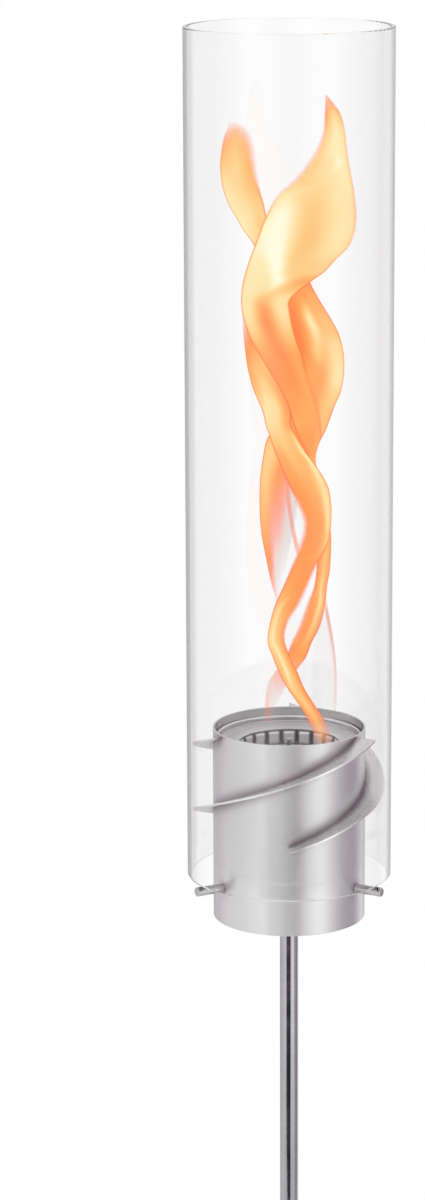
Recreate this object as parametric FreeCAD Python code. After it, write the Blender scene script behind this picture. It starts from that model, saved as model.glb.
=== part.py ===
import FreeCAD, Part
import math
import os

# Garden torch: a flame burner in a steel housing, under a glass chimney, on a screwed stake.
# Sizes are in millimetres. +Z is up and the front of the torch faces -Y.
# The origin is on the stake's axis at the ground line, so the spike reaches below Z = 0.
# Heights named *_z are worked out from the sizes, and are above the ground line.

# ---- stake ----
HEAD_HEIGHT = 800.0          # ground line to the housing's lower edge
ROD_DIAMETER = 10.0
SPIKE_BURIED = 250.0         # ground line down to the spike's tip
SPIKE_STANDING = 100.0       # ground line up to the spike's screwed joint
SPIKE_TAPER = 30.0           # length of the pointed end
SPIKE_TIP_RADIUS = 0.8
MIDDLE_ROD_LENGTH = 350.0
ROD_CHAMFER = 0.5            # on the rod ends that meet at a joint
STUD_DIAMETER = 6.0
STUD_LENGTH = 24.0
STUD_CHAMFER = 0.6
STUD_END_ROOM = 1.0          # spare depth of a tapped hole past its stud

# ---- housing ----
SHELL_DIAMETER = 82.0
SHELL_WALL = 1.0
SHELL_HEIGHT = 105.5
SHELL_EDGE_RADIUS = 0.25
CUP_WALL = 1.2               # skirt of the base cup
CUP_FLOOR = 1.5
CUP_CORNER_RADIUS = 2.0      # outside bend between skirt and floor
CUP_FOOT_INSET = 3.0         # skirt's lower edge above the shell's lower edge
BOSS_DIAMETER = 18.0
BOSS_LENGTH = 19.0
BOSS_CHAMFER = 1.0

# ---- chimney and the pins that carry it ----
CHIMNEY_DIAMETER = 110.0
CHIMNEY_WALL = 2.2
CHIMNEY_HEIGHT = 455.0
CHIMNEY_EDGE_RADIUS = 0.7
CHIMNEY_LIFT = 23.5          # chimney's lower edge above the shell's lower edge
PIN_COUNT = 3
PIN_FIRST_AZIMUTH = 90.0     # degrees, anticlockwise from +X
PIN_DIAMETER = 5.0
PIN_OVERHANG = 2.3           # pin's end past the chimney's outer wall
PIN_CHAMFER = 0.4
PIN_SHANK_DIAMETER = 4.0     # threaded part that passes through shell and cup
PIN_SHANK_TAIL = 0.8         # shank's end past its nut
NUT_ACROSS_FLATS = 7.0
NUT_THICKNESS = 3.2
NUT_ROOM = 0.5               # between a nut's corner and the cup's floor

# ---- swirl fins ----
FIN_COUNT = 3
FIN_FIRST_AZIMUTH = 270.0    # where the first fin's lower end stands
FIN_WRAP = 180.0             # degrees that each fin climbs around the shell
FIN_START = 25.5             # lower end above the chimney's lower edge
FIN_TOP_MARGIN = 0.8         # upper end below the shell's rim
FIN_THICKNESS = 1.1          # measured upright
FIN_CHIMNEY_GAP = 1.0        # between a fin's outer edge and the glass

# ---- burner ----
BURNER_RECESS = 4.3          # top of the seam below the shell's rim
CAN_WALL = 0.8
CAN_FLOOR = 1.0
CAN_CORNER_RADIUS = 2.5      # outside bend between wall and floor
LID_THICKNESS = 0.6
SEAM_HEIGHT = 4.0            # length of the lid's outer skirt over the can's edge
LID_DEPTH = 3.1              # plate below the seam's top, at the plate's outer edge
LID_BEND_RADIUS = 0.5
FUNNEL_DROP = 1.6            # plate's fall from its outer edge to the mouth
MOUTH_RADIUS = 27.0
COLLAR_THICKNESS = 0.6
COLLAR_INSET = 0.2           # collar's inner wall inside the mouth's edge
COLLAR_BEND_RADIUS = 1.6     # outside bend between collar and flange
COLLAR_FLANGE = 4.0          # flange's reach under the plate, past the mouth
COLLAR_LIP = 1.5             # inward lip that carries the support plate
SLOT_COUNT = 20
SLOT_WIDTH = 1.5
SLOT_DEPTH = 7.0             # slot's lower end below the mouth's edge
GAUZE_DEPTH = 8.2            # top of the gauze below the mouth's edge
GAUZE_THICKNESS = 0.6
SUPPORT_THICKNESS = 0.8
SUPPORT_HOLE_DIAMETER = 4.0
SUPPORT_RING_PITCH = 7.6     # between rings of holes; each ring has six holes more than the last
SUPPORT_EDGE = 1.5           # least metal between the outermost holes and the plate's edge
POST_DIAMETER = 2.0
POST_RISE = 1.9              # post's top above the mouth's edge
POST_HEAD_DIAMETER = 3.0
POST_HEAD_THICKNESS = 0.8
POST_COLLAR_DIAMETER = 3.6
POST_COLLAR_THICKNESS = 1.2
POST_TAIL = 0.6              # post's end past its nut
WASHER_DIAMETER = 8.0
WASHER_THICKNESS = 0.5
POST_NUT_ACROSS_FLATS = 4.0
POST_NUT_THICKNESS = 1.6
FIBRE_WALL_GAP = 0.3
FIBRE_TOP_GAP = 0.5          # fibre's top below the post's end
FIBRE_EDGE_RADIUS = 2.0

# ---- clearances ----
JOIN_GAP = 0.05              # between faces that are welded, seamed or screwed together
CHIMNEY_SEAT_GAP = 0.3       # between the glass and the round tops of its pins
LIFT_GAP = 0.5               # radial, around the burner that lifts out of the shell
INSERT_GAP = 0.3             # radial, around the gauze insert that lifts out of the collar

# ---- radii and heights that follow from the sizes ----
rod_r = ROD_DIAMETER / 2
stud_r = STUD_DIAMETER / 2
shell_r = SHELL_DIAMETER / 2
shell_bore_r = shell_r - SHELL_WALL
cup_r = shell_bore_r - JOIN_GAP
cup_bore_r = cup_r - CUP_WALL
chimney_r = CHIMNEY_DIAMETER / 2
chimney_bore_r = chimney_r - CHIMNEY_WALL
fin_r = chimney_bore_r - FIN_CHIMNEY_GAP
seam_r = shell_bore_r - LIFT_GAP
can_r = seam_r - LID_THICKNESS - JOIN_GAP
can_bore_r = can_r - CAN_WALL
lid_well_r = can_bore_r - JOIN_GAP - LID_THICKNESS
collar_bore_r = MOUTH_RADIUS - COLLAR_INSET
collar_r = collar_bore_r + COLLAR_THICKNESS
insert_r = collar_bore_r - INSERT_GAP
post_r = POST_DIAMETER / 2

lower_joint_z = SPIKE_STANDING
upper_joint_z = lower_joint_z + MIDDLE_ROD_LENGTH
shell_foot_z = HEAD_HEIGHT
shell_rim_z = shell_foot_z + SHELL_HEIGHT
chimney_foot_z = shell_foot_z + CHIMNEY_LIFT
pin_axis_z = chimney_foot_z - CHIMNEY_SEAT_GAP - PIN_DIAMETER / 2
nut_corner_r = NUT_ACROSS_FLATS / 2 / math.cos(math.radians(30))
cup_ceiling_z = pin_axis_z + nut_corner_r + NUT_ROOM
cup_floor_z = cup_ceiling_z + CUP_FLOOR
boss_foot_z = cup_ceiling_z - BOSS_LENGTH
seam_top_z = shell_rim_z - BURNER_RECESS
plate_z = seam_top_z - LID_DEPTH
mouth_z = plate_z - FUNNEL_DROP
gauze_top_z = mouth_z - GAUZE_DEPTH
support_top_z = gauze_top_z - GAUZE_THICKNESS
support_foot_z = support_top_z - SUPPORT_THICKNESS
collar_foot_z = support_foot_z - COLLAR_THICKNESS
post_foot_z = support_foot_z - POST_NUT_THICKNESS - POST_TAIL
fibre_top_z = post_foot_z - FIBRE_TOP_GAP

UP = FreeCAD.Vector(0, 0, 1)
ORIGIN = FreeCAD.Vector(0, 0, 0)
FULL_TURN = 360.0
SAME_DIRECTION = 1           # a ruled surface's two edges run the same way


def outline(corners):
    """Closed wire in the XZ plane through (radius, height, bend) corners, with tangent bends."""
    points = [FreeCAD.Vector(corner[0], 0, corner[1]) for corner in corners]
    starts = []
    middles = []
    ends = []
    for index, point in enumerate(points):
        bend = corners[index][2]
        back = (points[index - 1] - point).normalize()
        ahead = (points[(index + 1) % len(points)] - point).normalize()
        half_angle = back.getAngle(ahead) / 2
        reach = bend / math.tan(half_angle)
        starts.append(point + back * reach)
        ends.append(point + ahead * reach)
        if bend > 0:
            inward = (back + ahead).normalize()
            middles.append(point + inward * (bend / math.sin(half_angle) - bend))
        else:
            middles.append(None)
    edges = []
    for index, middle in enumerate(middles):
        if middle is not None:
            edges.append(Part.Arc(starts[index], middle, ends[index]).toShape())
        following = starts[(index + 1) % len(points)]
        edges.append(Part.LineSegment(ends[index], following).toShape())
    return Part.Wire(edges)


def turned(corners):
    """Solid of revolution about the torch's axis."""
    return Part.Face(outline(corners)).revolve(ORIGIN, UP, FULL_TURN)


def cylinder(radius, low_z, high_z):
    """Upright cylinder on the torch's axis."""
    return Part.makeCylinder(radius, high_z - low_z, FreeCAD.Vector(0, 0, low_z))


def around(shape, azimuth):
    """Copy of a shape, turned about the torch's axis."""
    copy = shape.copy()
    copy.rotate(ORIGIN, UP, azimuth)
    return copy


def ring_azimuths(count, first):
    """Evenly spaced azimuths in degrees, beginning at first."""
    return [first + FULL_TURN * index / count for index in range(count)]


def drilled(shape, radius, low_z, high_z):
    """Shape with an upright hole on the torch's axis."""
    return shape.cut(cylinder(radius, low_z, high_z))


def hexagon(across_flats, thickness, bore_radius):
    """Hexagon nut standing on the XY plane, with its bore on the Z axis."""
    corner_radius = across_flats / 2 / math.cos(math.radians(30))
    corners = []
    for azimuth in ring_azimuths(6, 0):
        turn = math.radians(azimuth)
        corners.append(FreeCAD.Vector(corner_radius * math.cos(turn), corner_radius * math.sin(turn), 0))
    corners.append(corners[0])
    blank = Part.Face(Part.makePolygon(corners)).extrude(UP * thickness)
    crown = thickness + across_flats / 2
    rounding = Part.makeCone(crown * 2, 0, crown * 2, ORIGIN).common(blank)
    return rounding.cut(Part.makeCylinder(bore_radius, thickness))


# ---- stake ----

def rod(foot_z, top_z, foot_hole, top_hole):
    """Round rod with chamfered ends, tapped at the ends that take a stud."""
    hole_r = stud_r + JOIN_GAP
    hole_depth = STUD_LENGTH / 2 + STUD_END_ROOM
    shape = turned([
        (0, foot_z, 0),
        (rod_r - ROD_CHAMFER, foot_z, 0),
        (rod_r, foot_z + ROD_CHAMFER, 0),
        (rod_r, top_z - ROD_CHAMFER, 0),
        (rod_r - ROD_CHAMFER, top_z, 0),
        (0, top_z, 0),
    ])
    if foot_hole:
        shape = drilled(shape, hole_r, foot_z, foot_z + hole_depth)
    if top_hole:
        shape = drilled(shape, hole_r, top_z - hole_depth, top_z)
    return shape


def ground_spike():
    """Lowest section: pointed at its foot, tapped at its top."""
    tip_z = -SPIKE_BURIED
    spike = turned([
        (0, tip_z, 0),
        (SPIKE_TIP_RADIUS, tip_z, 0),
        (rod_r, tip_z + SPIKE_TAPER, 0),
        (rod_r, lower_joint_z - ROD_CHAMFER, 0),
        (rod_r - ROD_CHAMFER, lower_joint_z, 0),
        (0, lower_joint_z, 0),
    ])
    hole_depth = STUD_LENGTH / 2 + STUD_END_ROOM
    return drilled(spike, stud_r + JOIN_GAP, lower_joint_z - hole_depth, lower_joint_z)


def joint_stud(joint_z):
    """Threaded stud that holds two sections together, half in each."""
    foot_z = joint_z - STUD_LENGTH / 2
    top_z = joint_z + STUD_LENGTH / 2
    return turned([
        (0, foot_z, 0),
        (stud_r - STUD_CHAMFER, foot_z, 0),
        (stud_r, foot_z + STUD_CHAMFER, 0),
        (stud_r, top_z - STUD_CHAMFER, 0),
        (stud_r - STUD_CHAMFER, top_z, 0),
        (0, top_z, 0),
    ])


# ---- housing ----

def pin_hole():
    """Cutter for one pin's shank, along +X, through the shell's and the cup's walls."""
    start = FreeCAD.Vector(cup_bore_r - NUT_THICKNESS, 0, pin_axis_z)
    length = shell_r - start.x + NUT_THICKNESS
    return Part.makeCylinder(PIN_SHANK_DIAMETER / 2 + JOIN_GAP, length, start, FreeCAD.Vector(1, 0, 0))


def with_pin_holes(shape):
    """Shape with one hole for each pin's shank."""
    for azimuth in ring_azimuths(PIN_COUNT, PIN_FIRST_AZIMUTH):
        shape = shape.cut(around(pin_hole(), azimuth))
    return shape


def housing_shell():
    """Open steel tube around the burner."""
    edge = SHELL_EDGE_RADIUS
    return with_pin_holes(turned([
        (shell_bore_r, shell_foot_z, edge),
        (shell_r, shell_foot_z, edge),
        (shell_r, shell_rim_z, edge),
        (shell_bore_r, shell_rim_z, edge),
    ]))


def base_cup():
    """Upturned cup in the shell's foot: its floor carries the burner, its skirt the pins."""
    foot_z = shell_foot_z + CUP_FOOT_INSET
    inner_bend = CUP_CORNER_RADIUS - CUP_WALL
    return with_pin_holes(turned([
        (0, cup_ceiling_z, 0),
        (cup_bore_r, cup_ceiling_z, inner_bend),
        (cup_bore_r, foot_z, 0),
        (cup_r, foot_z, 0),
        (cup_r, cup_floor_z, CUP_CORNER_RADIUS),
        (0, cup_floor_z, 0),
    ]))


def stake_boss():
    """Turned boss under the cup's floor, tapped for the head stud."""
    boss_r = BOSS_DIAMETER / 2
    top_z = cup_ceiling_z - JOIN_GAP
    boss = turned([
        (0, boss_foot_z, 0),
        (boss_r - BOSS_CHAMFER, boss_foot_z, 0),
        (boss_r, boss_foot_z + BOSS_CHAMFER, 0),
        (boss_r, top_z, 0),
        (0, top_z, 0),
    ])
    hole_depth = STUD_LENGTH / 2 + STUD_END_ROOM
    return drilled(boss, stud_r + JOIN_GAP, boss_foot_z, boss_foot_z + hole_depth)


# ---- chimney, pins and fins ----

def glass_chimney():
    """Plain glass tube with softened ends."""
    edge = CHIMNEY_EDGE_RADIUS
    top_z = chimney_foot_z + CHIMNEY_HEIGHT
    return turned([
        (chimney_bore_r, chimney_foot_z, edge),
        (chimney_r, chimney_foot_z, edge),
        (chimney_r, top_z, edge),
        (chimney_bore_r, top_z, edge),
    ])


def nut_seat():
    """Distance from the axis to the plane of a nut that seats in the cup's round skirt."""
    return math.sqrt(cup_bore_r ** 2 - nut_corner_r ** 2) - JOIN_GAP


def laid_along_x(shape, distance):
    """Shape that stood on the XY plane, laid outwards along +X at the pins' height."""
    laid = shape.copy()
    laid.rotate(ORIGIN, FreeCAD.Vector(0, 1, 0), 90)
    laid.translate(FreeCAD.Vector(distance, 0, pin_axis_z))
    return laid


def rest_pin():
    """One pin along +X: a smooth bar outside the shell, and a threaded shank inside it."""
    shoulder = shell_r + JOIN_GAP
    end = chimney_r + PIN_OVERHANG
    shank_start = nut_seat() - NUT_THICKNESS - PIN_SHANK_TAIL
    shank_length = shoulder - shank_start
    pin_r = PIN_DIAMETER / 2
    shank_r = PIN_SHANK_DIAMETER / 2
    profile = turned([
        (0, 0, 0),
        (shank_r, 0, 0),
        (shank_r, shank_length, 0),
        (pin_r, shank_length, 0),
        (pin_r, end - shank_start - PIN_CHAMFER, 0),
        (pin_r - PIN_CHAMFER, end - shank_start, 0),
        (0, end - shank_start, 0),
    ])
    return laid_along_x(profile, shank_start)


def pin_nuts():
    """Nuts inside the cup's skirt, one on each pin's shank."""
    nut = hexagon(NUT_ACROSS_FLATS, NUT_THICKNESS, PIN_SHANK_DIAMETER / 2 + JOIN_GAP)
    laid = laid_along_x(nut, nut_seat() - NUT_THICKNESS)
    return Part.makeCompound([around(laid, azimuth) for azimuth in ring_azimuths(PIN_COUNT, PIN_FIRST_AZIMUTH)])


def swirl_fin():
    """One fin from azimuth 0: a strip standing out from the shell, climbing anticlockwise."""
    start_z = chimney_foot_z + FIN_START
    rise = shell_rim_z - FIN_TOP_MARGIN - FIN_THICKNESS - start_z
    pitch = rise * FULL_TURN / FIN_WRAP
    inner_edge = Part.makeHelix(pitch, rise, shell_r + JOIN_GAP)
    outer_edge = Part.makeHelix(pitch, rise, fin_r)
    strip = Part.makeRuledSurface(inner_edge, outer_edge, SAME_DIRECTION)
    fin = strip.Faces[0].extrude(UP * FIN_THICKNESS)
    fin.translate(UP * start_z)
    return fin


# ---- burner ----

def burner_can():
    """Drawn cup that holds the fibre and the fuel."""
    foot_z = cup_floor_z
    top_z = seam_top_z - LID_THICKNESS - JOIN_GAP
    edge = CAN_WALL / 2 - JOIN_GAP
    return turned([
        (0, foot_z, 0),
        (can_r, foot_z, CAN_CORNER_RADIUS),
        (can_r, top_z, edge),
        (can_bore_r, top_z, edge),
        (can_bore_r, foot_z + CAN_FLOOR, CAN_CORNER_RADIUS - CAN_WALL),
        (0, foot_z + CAN_FLOOR, 0),
    ])


def burner_lid():
    """Pressed lid: a skirt over the can's edge, a well wall and a funnel down to the mouth."""
    skirt_foot_z = seam_top_z - SEAM_HEIGHT
    skirt_bore_r = seam_r - LID_THICKNESS
    well_back_r = lid_well_r + LID_THICKNESS
    outer_bend = (seam_r - lid_well_r) / 2 - JOIN_GAP
    inner_bend = (skirt_bore_r - well_back_r) / 2 - JOIN_GAP
    return turned([
        (skirt_bore_r, skirt_foot_z, 0),
        (seam_r, skirt_foot_z, 0),
        (seam_r, seam_top_z, outer_bend),
        (lid_well_r, seam_top_z, outer_bend),
        (lid_well_r, plate_z, LID_BEND_RADIUS),
        (MOUTH_RADIUS, mouth_z, 0),
        (MOUTH_RADIUS, mouth_z - LID_THICKNESS, 0),
        (well_back_r, plate_z - LID_THICKNESS, LID_BEND_RADIUS + LID_THICKNESS),
        (well_back_r, seam_top_z - LID_THICKNESS, inner_bend),
        (skirt_bore_r, seam_top_z - LID_THICKNESS, inner_bend),
    ])


def collar_slot():
    """Cutter for one round-ended slot along +X, open at the collar's bend."""
    slot_r = SLOT_WIDTH / 2
    start_x = collar_bore_r - COLLAR_BEND_RADIUS
    length = collar_r + COLLAR_BEND_RADIUS / 2 - start_x
    end_z = mouth_z - SLOT_DEPTH + slot_r
    round_end = Part.makeCylinder(slot_r, length, FreeCAD.Vector(start_x, 0, end_z), FreeCAD.Vector(1, 0, 0))
    sides = Part.makeBox(length, SLOT_WIDTH, mouth_z - end_z, FreeCAD.Vector(start_x, -slot_r, end_z))
    return round_end.fuse(sides)


def slotted_collar():
    """Slotted ring that hangs in the mouth, with a flange above and a lip below."""
    flange_top_z = mouth_z - LID_THICKNESS - JOIN_GAP
    flange_r = MOUTH_RADIUS + COLLAR_FLANGE
    collar = turned([
        (collar_bore_r, flange_top_z, COLLAR_BEND_RADIUS + COLLAR_THICKNESS),
        (collar_bore_r, support_foot_z, 0),
        (collar_bore_r - COLLAR_LIP, support_foot_z, 0),
        (collar_bore_r - COLLAR_LIP, collar_foot_z, 0),
        (collar_r, collar_foot_z, COLLAR_THICKNESS),
        (collar_r, flange_top_z - COLLAR_THICKNESS, COLLAR_BEND_RADIUS),
        (flange_r, flange_top_z - COLLAR_THICKNESS, 0),
        (flange_r, flange_top_z, 0),
    ])
    slot_step = FULL_TURN / SLOT_COUNT
    for azimuth in ring_azimuths(SLOT_COUNT, PIN_FIRST_AZIMUTH + slot_step / 2):
        collar = collar.cut(around(collar_slot(), azimuth))
    return collar


def support_plate():
    """Perforated plate on the collar's lip, under the gauze."""
    plate = cylinder(insert_r, support_foot_z, support_top_z)
    plate = drilled(plate, post_r + JOIN_GAP, support_foot_z, support_top_z)
    hole_r = SUPPORT_HOLE_DIAMETER / 2
    ring_count = int((insert_r - SUPPORT_EDGE - hole_r) / SUPPORT_RING_PITCH)
    holes = []
    for ring in range(1, ring_count + 1):
        hole = cylinder(hole_r, support_foot_z, support_top_z)
        hole.translate(FreeCAD.Vector(ring * SUPPORT_RING_PITCH, 0, 0))
        holes += [around(hole, azimuth) for azimuth in ring_azimuths(6 * ring, 0)]
    return plate.cut(Part.makeCompound(holes))


def wire_gauze():
    """Disc that the woven gauze fills, flat on the support plate."""
    gauze = cylinder(insert_r, support_top_z, gauze_top_z)
    return drilled(gauze, post_r + JOIN_GAP, support_top_z, gauze_top_z)


def gauze_washer():
    """Washer that the post presses on the gauze."""
    top_z = gauze_top_z + WASHER_THICKNESS
    return drilled(cylinder(WASHER_DIAMETER / 2, gauze_top_z, top_z), post_r + JOIN_GAP, gauze_top_z, top_z)


def centre_post():
    """Headed post through washer, gauze and support plate, by which the insert lifts out."""
    top_z = mouth_z + POST_RISE
    head_foot_z = top_z - POST_HEAD_THICKNESS
    collar_low_z = gauze_top_z + WASHER_THICKNESS
    collar_high_z = collar_low_z + POST_COLLAR_THICKNESS
    head_r = POST_HEAD_DIAMETER / 2
    ring_r = POST_COLLAR_DIAMETER / 2
    return turned([
        (0, post_foot_z, 0),
        (post_r, post_foot_z, 0),
        (post_r, collar_low_z, 0),
        (ring_r, collar_low_z, 0),
        (ring_r, collar_high_z, 0),
        (post_r, collar_high_z, 0),
        (post_r, head_foot_z, 0),
        (head_r, head_foot_z, 0),
        (head_r, top_z, POST_HEAD_THICKNESS / 4),
        (0, top_z, 0),
    ])


def post_nut():
    """Nut on the post, under the support plate."""
    nut = hexagon(POST_NUT_ACROSS_FLATS, POST_NUT_THICKNESS, post_r + JOIN_GAP)
    nut.translate(UP * (support_foot_z - POST_NUT_THICKNESS))
    return nut


def fibre_core():
    """Absorbent ceramic fibre that fills the lower part of the can."""
    core_r = can_bore_r - FIBRE_WALL_GAP
    foot_z = cup_floor_z + CAN_FLOOR
    return turned([
        (0, foot_z, 0),
        (core_r, foot_z, FIBRE_EDGE_RADIUS),
        (core_r, fibre_top_z, FIBRE_EDGE_RADIUS),
        (0, fibre_top_z, 0),
    ])


def torch():
    """Every node of the torch by name."""
    nodes = {
        "ground_spike": ground_spike(),
        "middle_rod": rod(lower_joint_z, upper_joint_z, True, True),
        "upper_rod": rod(upper_joint_z, boss_foot_z, True, True),
        "lower_joint_stud": joint_stud(lower_joint_z),
        "upper_joint_stud": joint_stud(upper_joint_z),
        "head_stud": joint_stud(boss_foot_z),
        "stake_boss": stake_boss(),
        "base_cup": base_cup(),
        "housing_shell": housing_shell(),
        "glass_chimney": glass_chimney(),
        "pin_nuts": pin_nuts(),
        "burner_can": burner_can(),
        "burner_lid": burner_lid(),
        "slotted_collar": slotted_collar(),
        "support_plate": support_plate(),
        "wire_gauze": wire_gauze(),
        "gauze_washer": gauze_washer(),
        "centre_post": centre_post(),
        "post_nut": post_nut(),
        "fibre_core": fibre_core(),
    }
    for number, azimuth in enumerate(ring_azimuths(PIN_COUNT, PIN_FIRST_AZIMUTH), start=1):
        nodes[f"rest_pin_{number}"] = around(rest_pin(), azimuth)
    for number, azimuth in enumerate(ring_azimuths(FIN_COUNT, FIN_FIRST_AZIMUTH), start=1):
        nodes[f"swirl_fin_{number}"] = around(swirl_fin(), azimuth)
    return nodes


os.makedirs("parts", exist_ok=True)
for name, shape in torch().items():
    shape.exportStep(f"parts/{name}.step")
    size = shape.BoundBox
    print(f"{name}: {len(shape.Solids)} solid(s), {shape.Volume:.1f} mm3, valid {shape.isValid()}, "
          f"z {size.ZMin:.2f} to {size.ZMax:.2f}")
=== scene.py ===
"""Looks of a garden torch: finishes, woven gauze, flame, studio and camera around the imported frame.

Lengths are in metres where a class doesn't say otherwise, +Z is up and the front of the torch faces -Y.
"""

import logging
import math
from dataclasses import dataclass, replace
from enum import Enum
from typing import Sequence, Union

import bpy
import numpy as np
from mathutils import Matrix, Vector


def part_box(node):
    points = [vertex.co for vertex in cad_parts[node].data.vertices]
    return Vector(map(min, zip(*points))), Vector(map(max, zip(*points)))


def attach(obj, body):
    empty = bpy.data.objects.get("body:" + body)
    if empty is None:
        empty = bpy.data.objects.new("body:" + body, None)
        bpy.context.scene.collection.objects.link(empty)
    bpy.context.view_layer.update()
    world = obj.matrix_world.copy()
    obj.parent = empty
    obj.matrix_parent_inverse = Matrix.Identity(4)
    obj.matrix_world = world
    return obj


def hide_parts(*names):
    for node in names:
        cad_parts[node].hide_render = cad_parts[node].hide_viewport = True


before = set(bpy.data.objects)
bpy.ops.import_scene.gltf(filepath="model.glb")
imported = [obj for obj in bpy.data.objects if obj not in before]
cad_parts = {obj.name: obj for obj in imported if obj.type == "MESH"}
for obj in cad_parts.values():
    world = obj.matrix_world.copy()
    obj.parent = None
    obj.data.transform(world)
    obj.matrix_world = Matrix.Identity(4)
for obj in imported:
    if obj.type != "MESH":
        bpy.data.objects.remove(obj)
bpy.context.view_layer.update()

log = logging.getLogger("torch")

MM = 0.001
NOISE_MIDDLE = 0.5
FIRST_BOUNCE = 0.5      # a glossy depth below this has mirrored nothing yet
TINY = 1e-9
Pair = tuple[float, float]
Triple = tuple[float, float, float]
Colour = Triple
Feed = Union[float, tuple[float, ...], bpy.types.NodeSocket]
Paint = Union[Colour, bpy.types.NodeSocket]
Stops = Sequence[tuple[float, Colour]]


# ---------------------------------------------------------------- shader graphs


class NodeGraph:
    """Adds and links the nodes of one tree, and hands back output sockets."""

    def __init__(self, tree: bpy.types.NodeTree) -> None:
        """Empty the tree and keep it."""
        self.tree = tree
        tree.nodes.clear()

    def add(self, kind: str, **settings: object) -> bpy.types.Node:
        """Add one node.

        Args:
            kind: The node's type name.
            **settings: Properties to set on it.

        Returns:
            The new node.
        """
        node = self.tree.nodes.new(kind)
        for name, value in settings.items():
            setattr(node, name, value)
        return node

    def feed(self, socket: bpy.types.NodeSocket, value: Feed) -> None:
        """Link a socket to another one, or set its own value."""
        if isinstance(value, bpy.types.NodeSocket):
            self.tree.links.new(value, socket)
        else:
            socket.default_value = value

    def calculate(self, operation: str, first: Feed, second: Feed = 0.0) -> bpy.types.NodeSocket:
        """Result of one arithmetic step on numbers.

        Args:
            operation: The Math node's operation.
            first: Its first input.
            second: Its second input, where the operation has one.

        Returns:
            The result's socket.
        """
        node = self.add("ShaderNodeMath", operation=operation)
        self.feed(node.inputs[0], first)
        self.feed(node.inputs[1], second)
        return node.outputs[0]

    def remap(self, value: Feed, low: float, high: float, start: float, end: float) -> bpy.types.NodeSocket:
        """Smoothly carry the range low to high over to start to end.

        Args:
            value: What is remapped.
            low: Value that becomes start.
            high: Value that becomes end.
            start: Result at low.
            end: Result at high.

        Returns:
            The result's socket.
        """
        node = self.add("ShaderNodeMapRange", interpolation_type="SMOOTHSTEP")
        for index, number in enumerate((value, low, high, start, end)):
            self.feed(node.inputs[index], number)
        return node.outputs[0]

    def combine(self, x: Feed, y: Feed, z: Feed) -> bpy.types.NodeSocket:
        """Vector made of three numbers."""
        node = self.add("ShaderNodeCombineXYZ")
        for index, number in enumerate((x, y, z)):
            self.feed(node.inputs[index], number)
        return node.outputs[0]

    def separate(self, vector: bpy.types.NodeSocket) -> list[bpy.types.NodeSocket]:
        """The three numbers of a vector."""
        node = self.add("ShaderNodeSeparateXYZ")
        self.feed(node.inputs[0], vector)
        return list(node.outputs)

    def noise(self, vector: bpy.types.NodeSocket, scale: float, detail: float = 2.0) -> bpy.types.NodeSocket:
        """Soft random value from 0 to 1.

        Args:
            vector: Where it is read.
            scale: Waves per unit of the vector.
            detail: Octaves of finer waves.

        Returns:
            The value's socket.
        """
        node = self.add("ShaderNodeTexNoise")
        self.feed(node.inputs["Vector"], vector)
        self.feed(node.inputs["Scale"], scale)
        self.feed(node.inputs["Detail"], detail)
        return node.outputs["Fac"]

    def ramp(self, value: bpy.types.NodeSocket, stops: Stops) -> bpy.types.NodeSocket:
        """Colour read from a ramp.

        Args:
            value: Where on the ramp, from 0 to 1.
            stops: Places and their colours, in order.

        Returns:
            The colour's socket.
        """
        node = self.add("ShaderNodeValToRGB")
        scale = node.color_ramp
        while len(scale.elements) < len(stops):
            scale.elements.new(1.0)
        for element, (place, colour) in zip(scale.elements, stops):
            element.position = place
            element.color = (*colour, 1.0)
        self.feed(node.inputs[0], value)
        return node.outputs[0]

    def blend(self, share: Feed, first: Paint, second: Paint) -> bpy.types.NodeSocket:
        """Colour between two others.

        Args:
            share: 0 for the first colour, 1 for the second.
            first: First colour.
            second: Second colour.

        Returns:
            The blended colour's socket.
        """
        node = self.add("ShaderNodeMix", data_type="RGBA")
        self.feed(node.inputs["Factor"], share)
        for name, colour in (("A", first), ("B", second)):
            self.feed(node.inputs[name], (*colour, 1.0) if isinstance(colour, tuple) else colour)
        return node.outputs["Result"]

    def bump(self, height: bpy.types.NodeSocket, depth: float, strength: float) -> bpy.types.NodeSocket:
        """Surface normal roughened by a height.

        Args:
            height: Height from 0 to 1.
            depth: What a height of 1 stands for, in metres.
            strength: Share of the effect.

        Returns:
            The normal's socket.
        """
        node = self.add("ShaderNodeBump")
        self.feed(node.inputs["Height"], height)
        self.feed(node.inputs["Distance"], depth)
        self.feed(node.inputs["Strength"], strength)
        return node.outputs["Normal"]

    def mix(self, share: Feed, first: bpy.types.NodeSocket,
            second: bpy.types.NodeSocket) -> bpy.types.NodeSocket:
        """Shader between two others.

        Args:
            share: 0 for the first shader, 1 for the second.
            first: First shader.
            second: Second shader.

        Returns:
            The mixed shader's socket.
        """
        node = self.add("ShaderNodeMixShader")
        for index, value in enumerate((share, first, second)):
            self.feed(node.inputs[index], value)
        return node.outputs[0]

    def seen_plainly(self) -> bpy.types.NodeSocket:
        """1 for rays from the eye, straight or through glass, and 0 for what steel mirrors."""
        path = self.add("ShaderNodeLightPath")
        first = self.calculate("LESS_THAN", path.outputs["Glossy Depth"], FIRST_BOUNCE)
        through = self.calculate("MULTIPLY", path.outputs["Is Transmission Ray"], first)
        return self.calculate("MAXIMUM", path.outputs["Is Camera Ray"], through)


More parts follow.
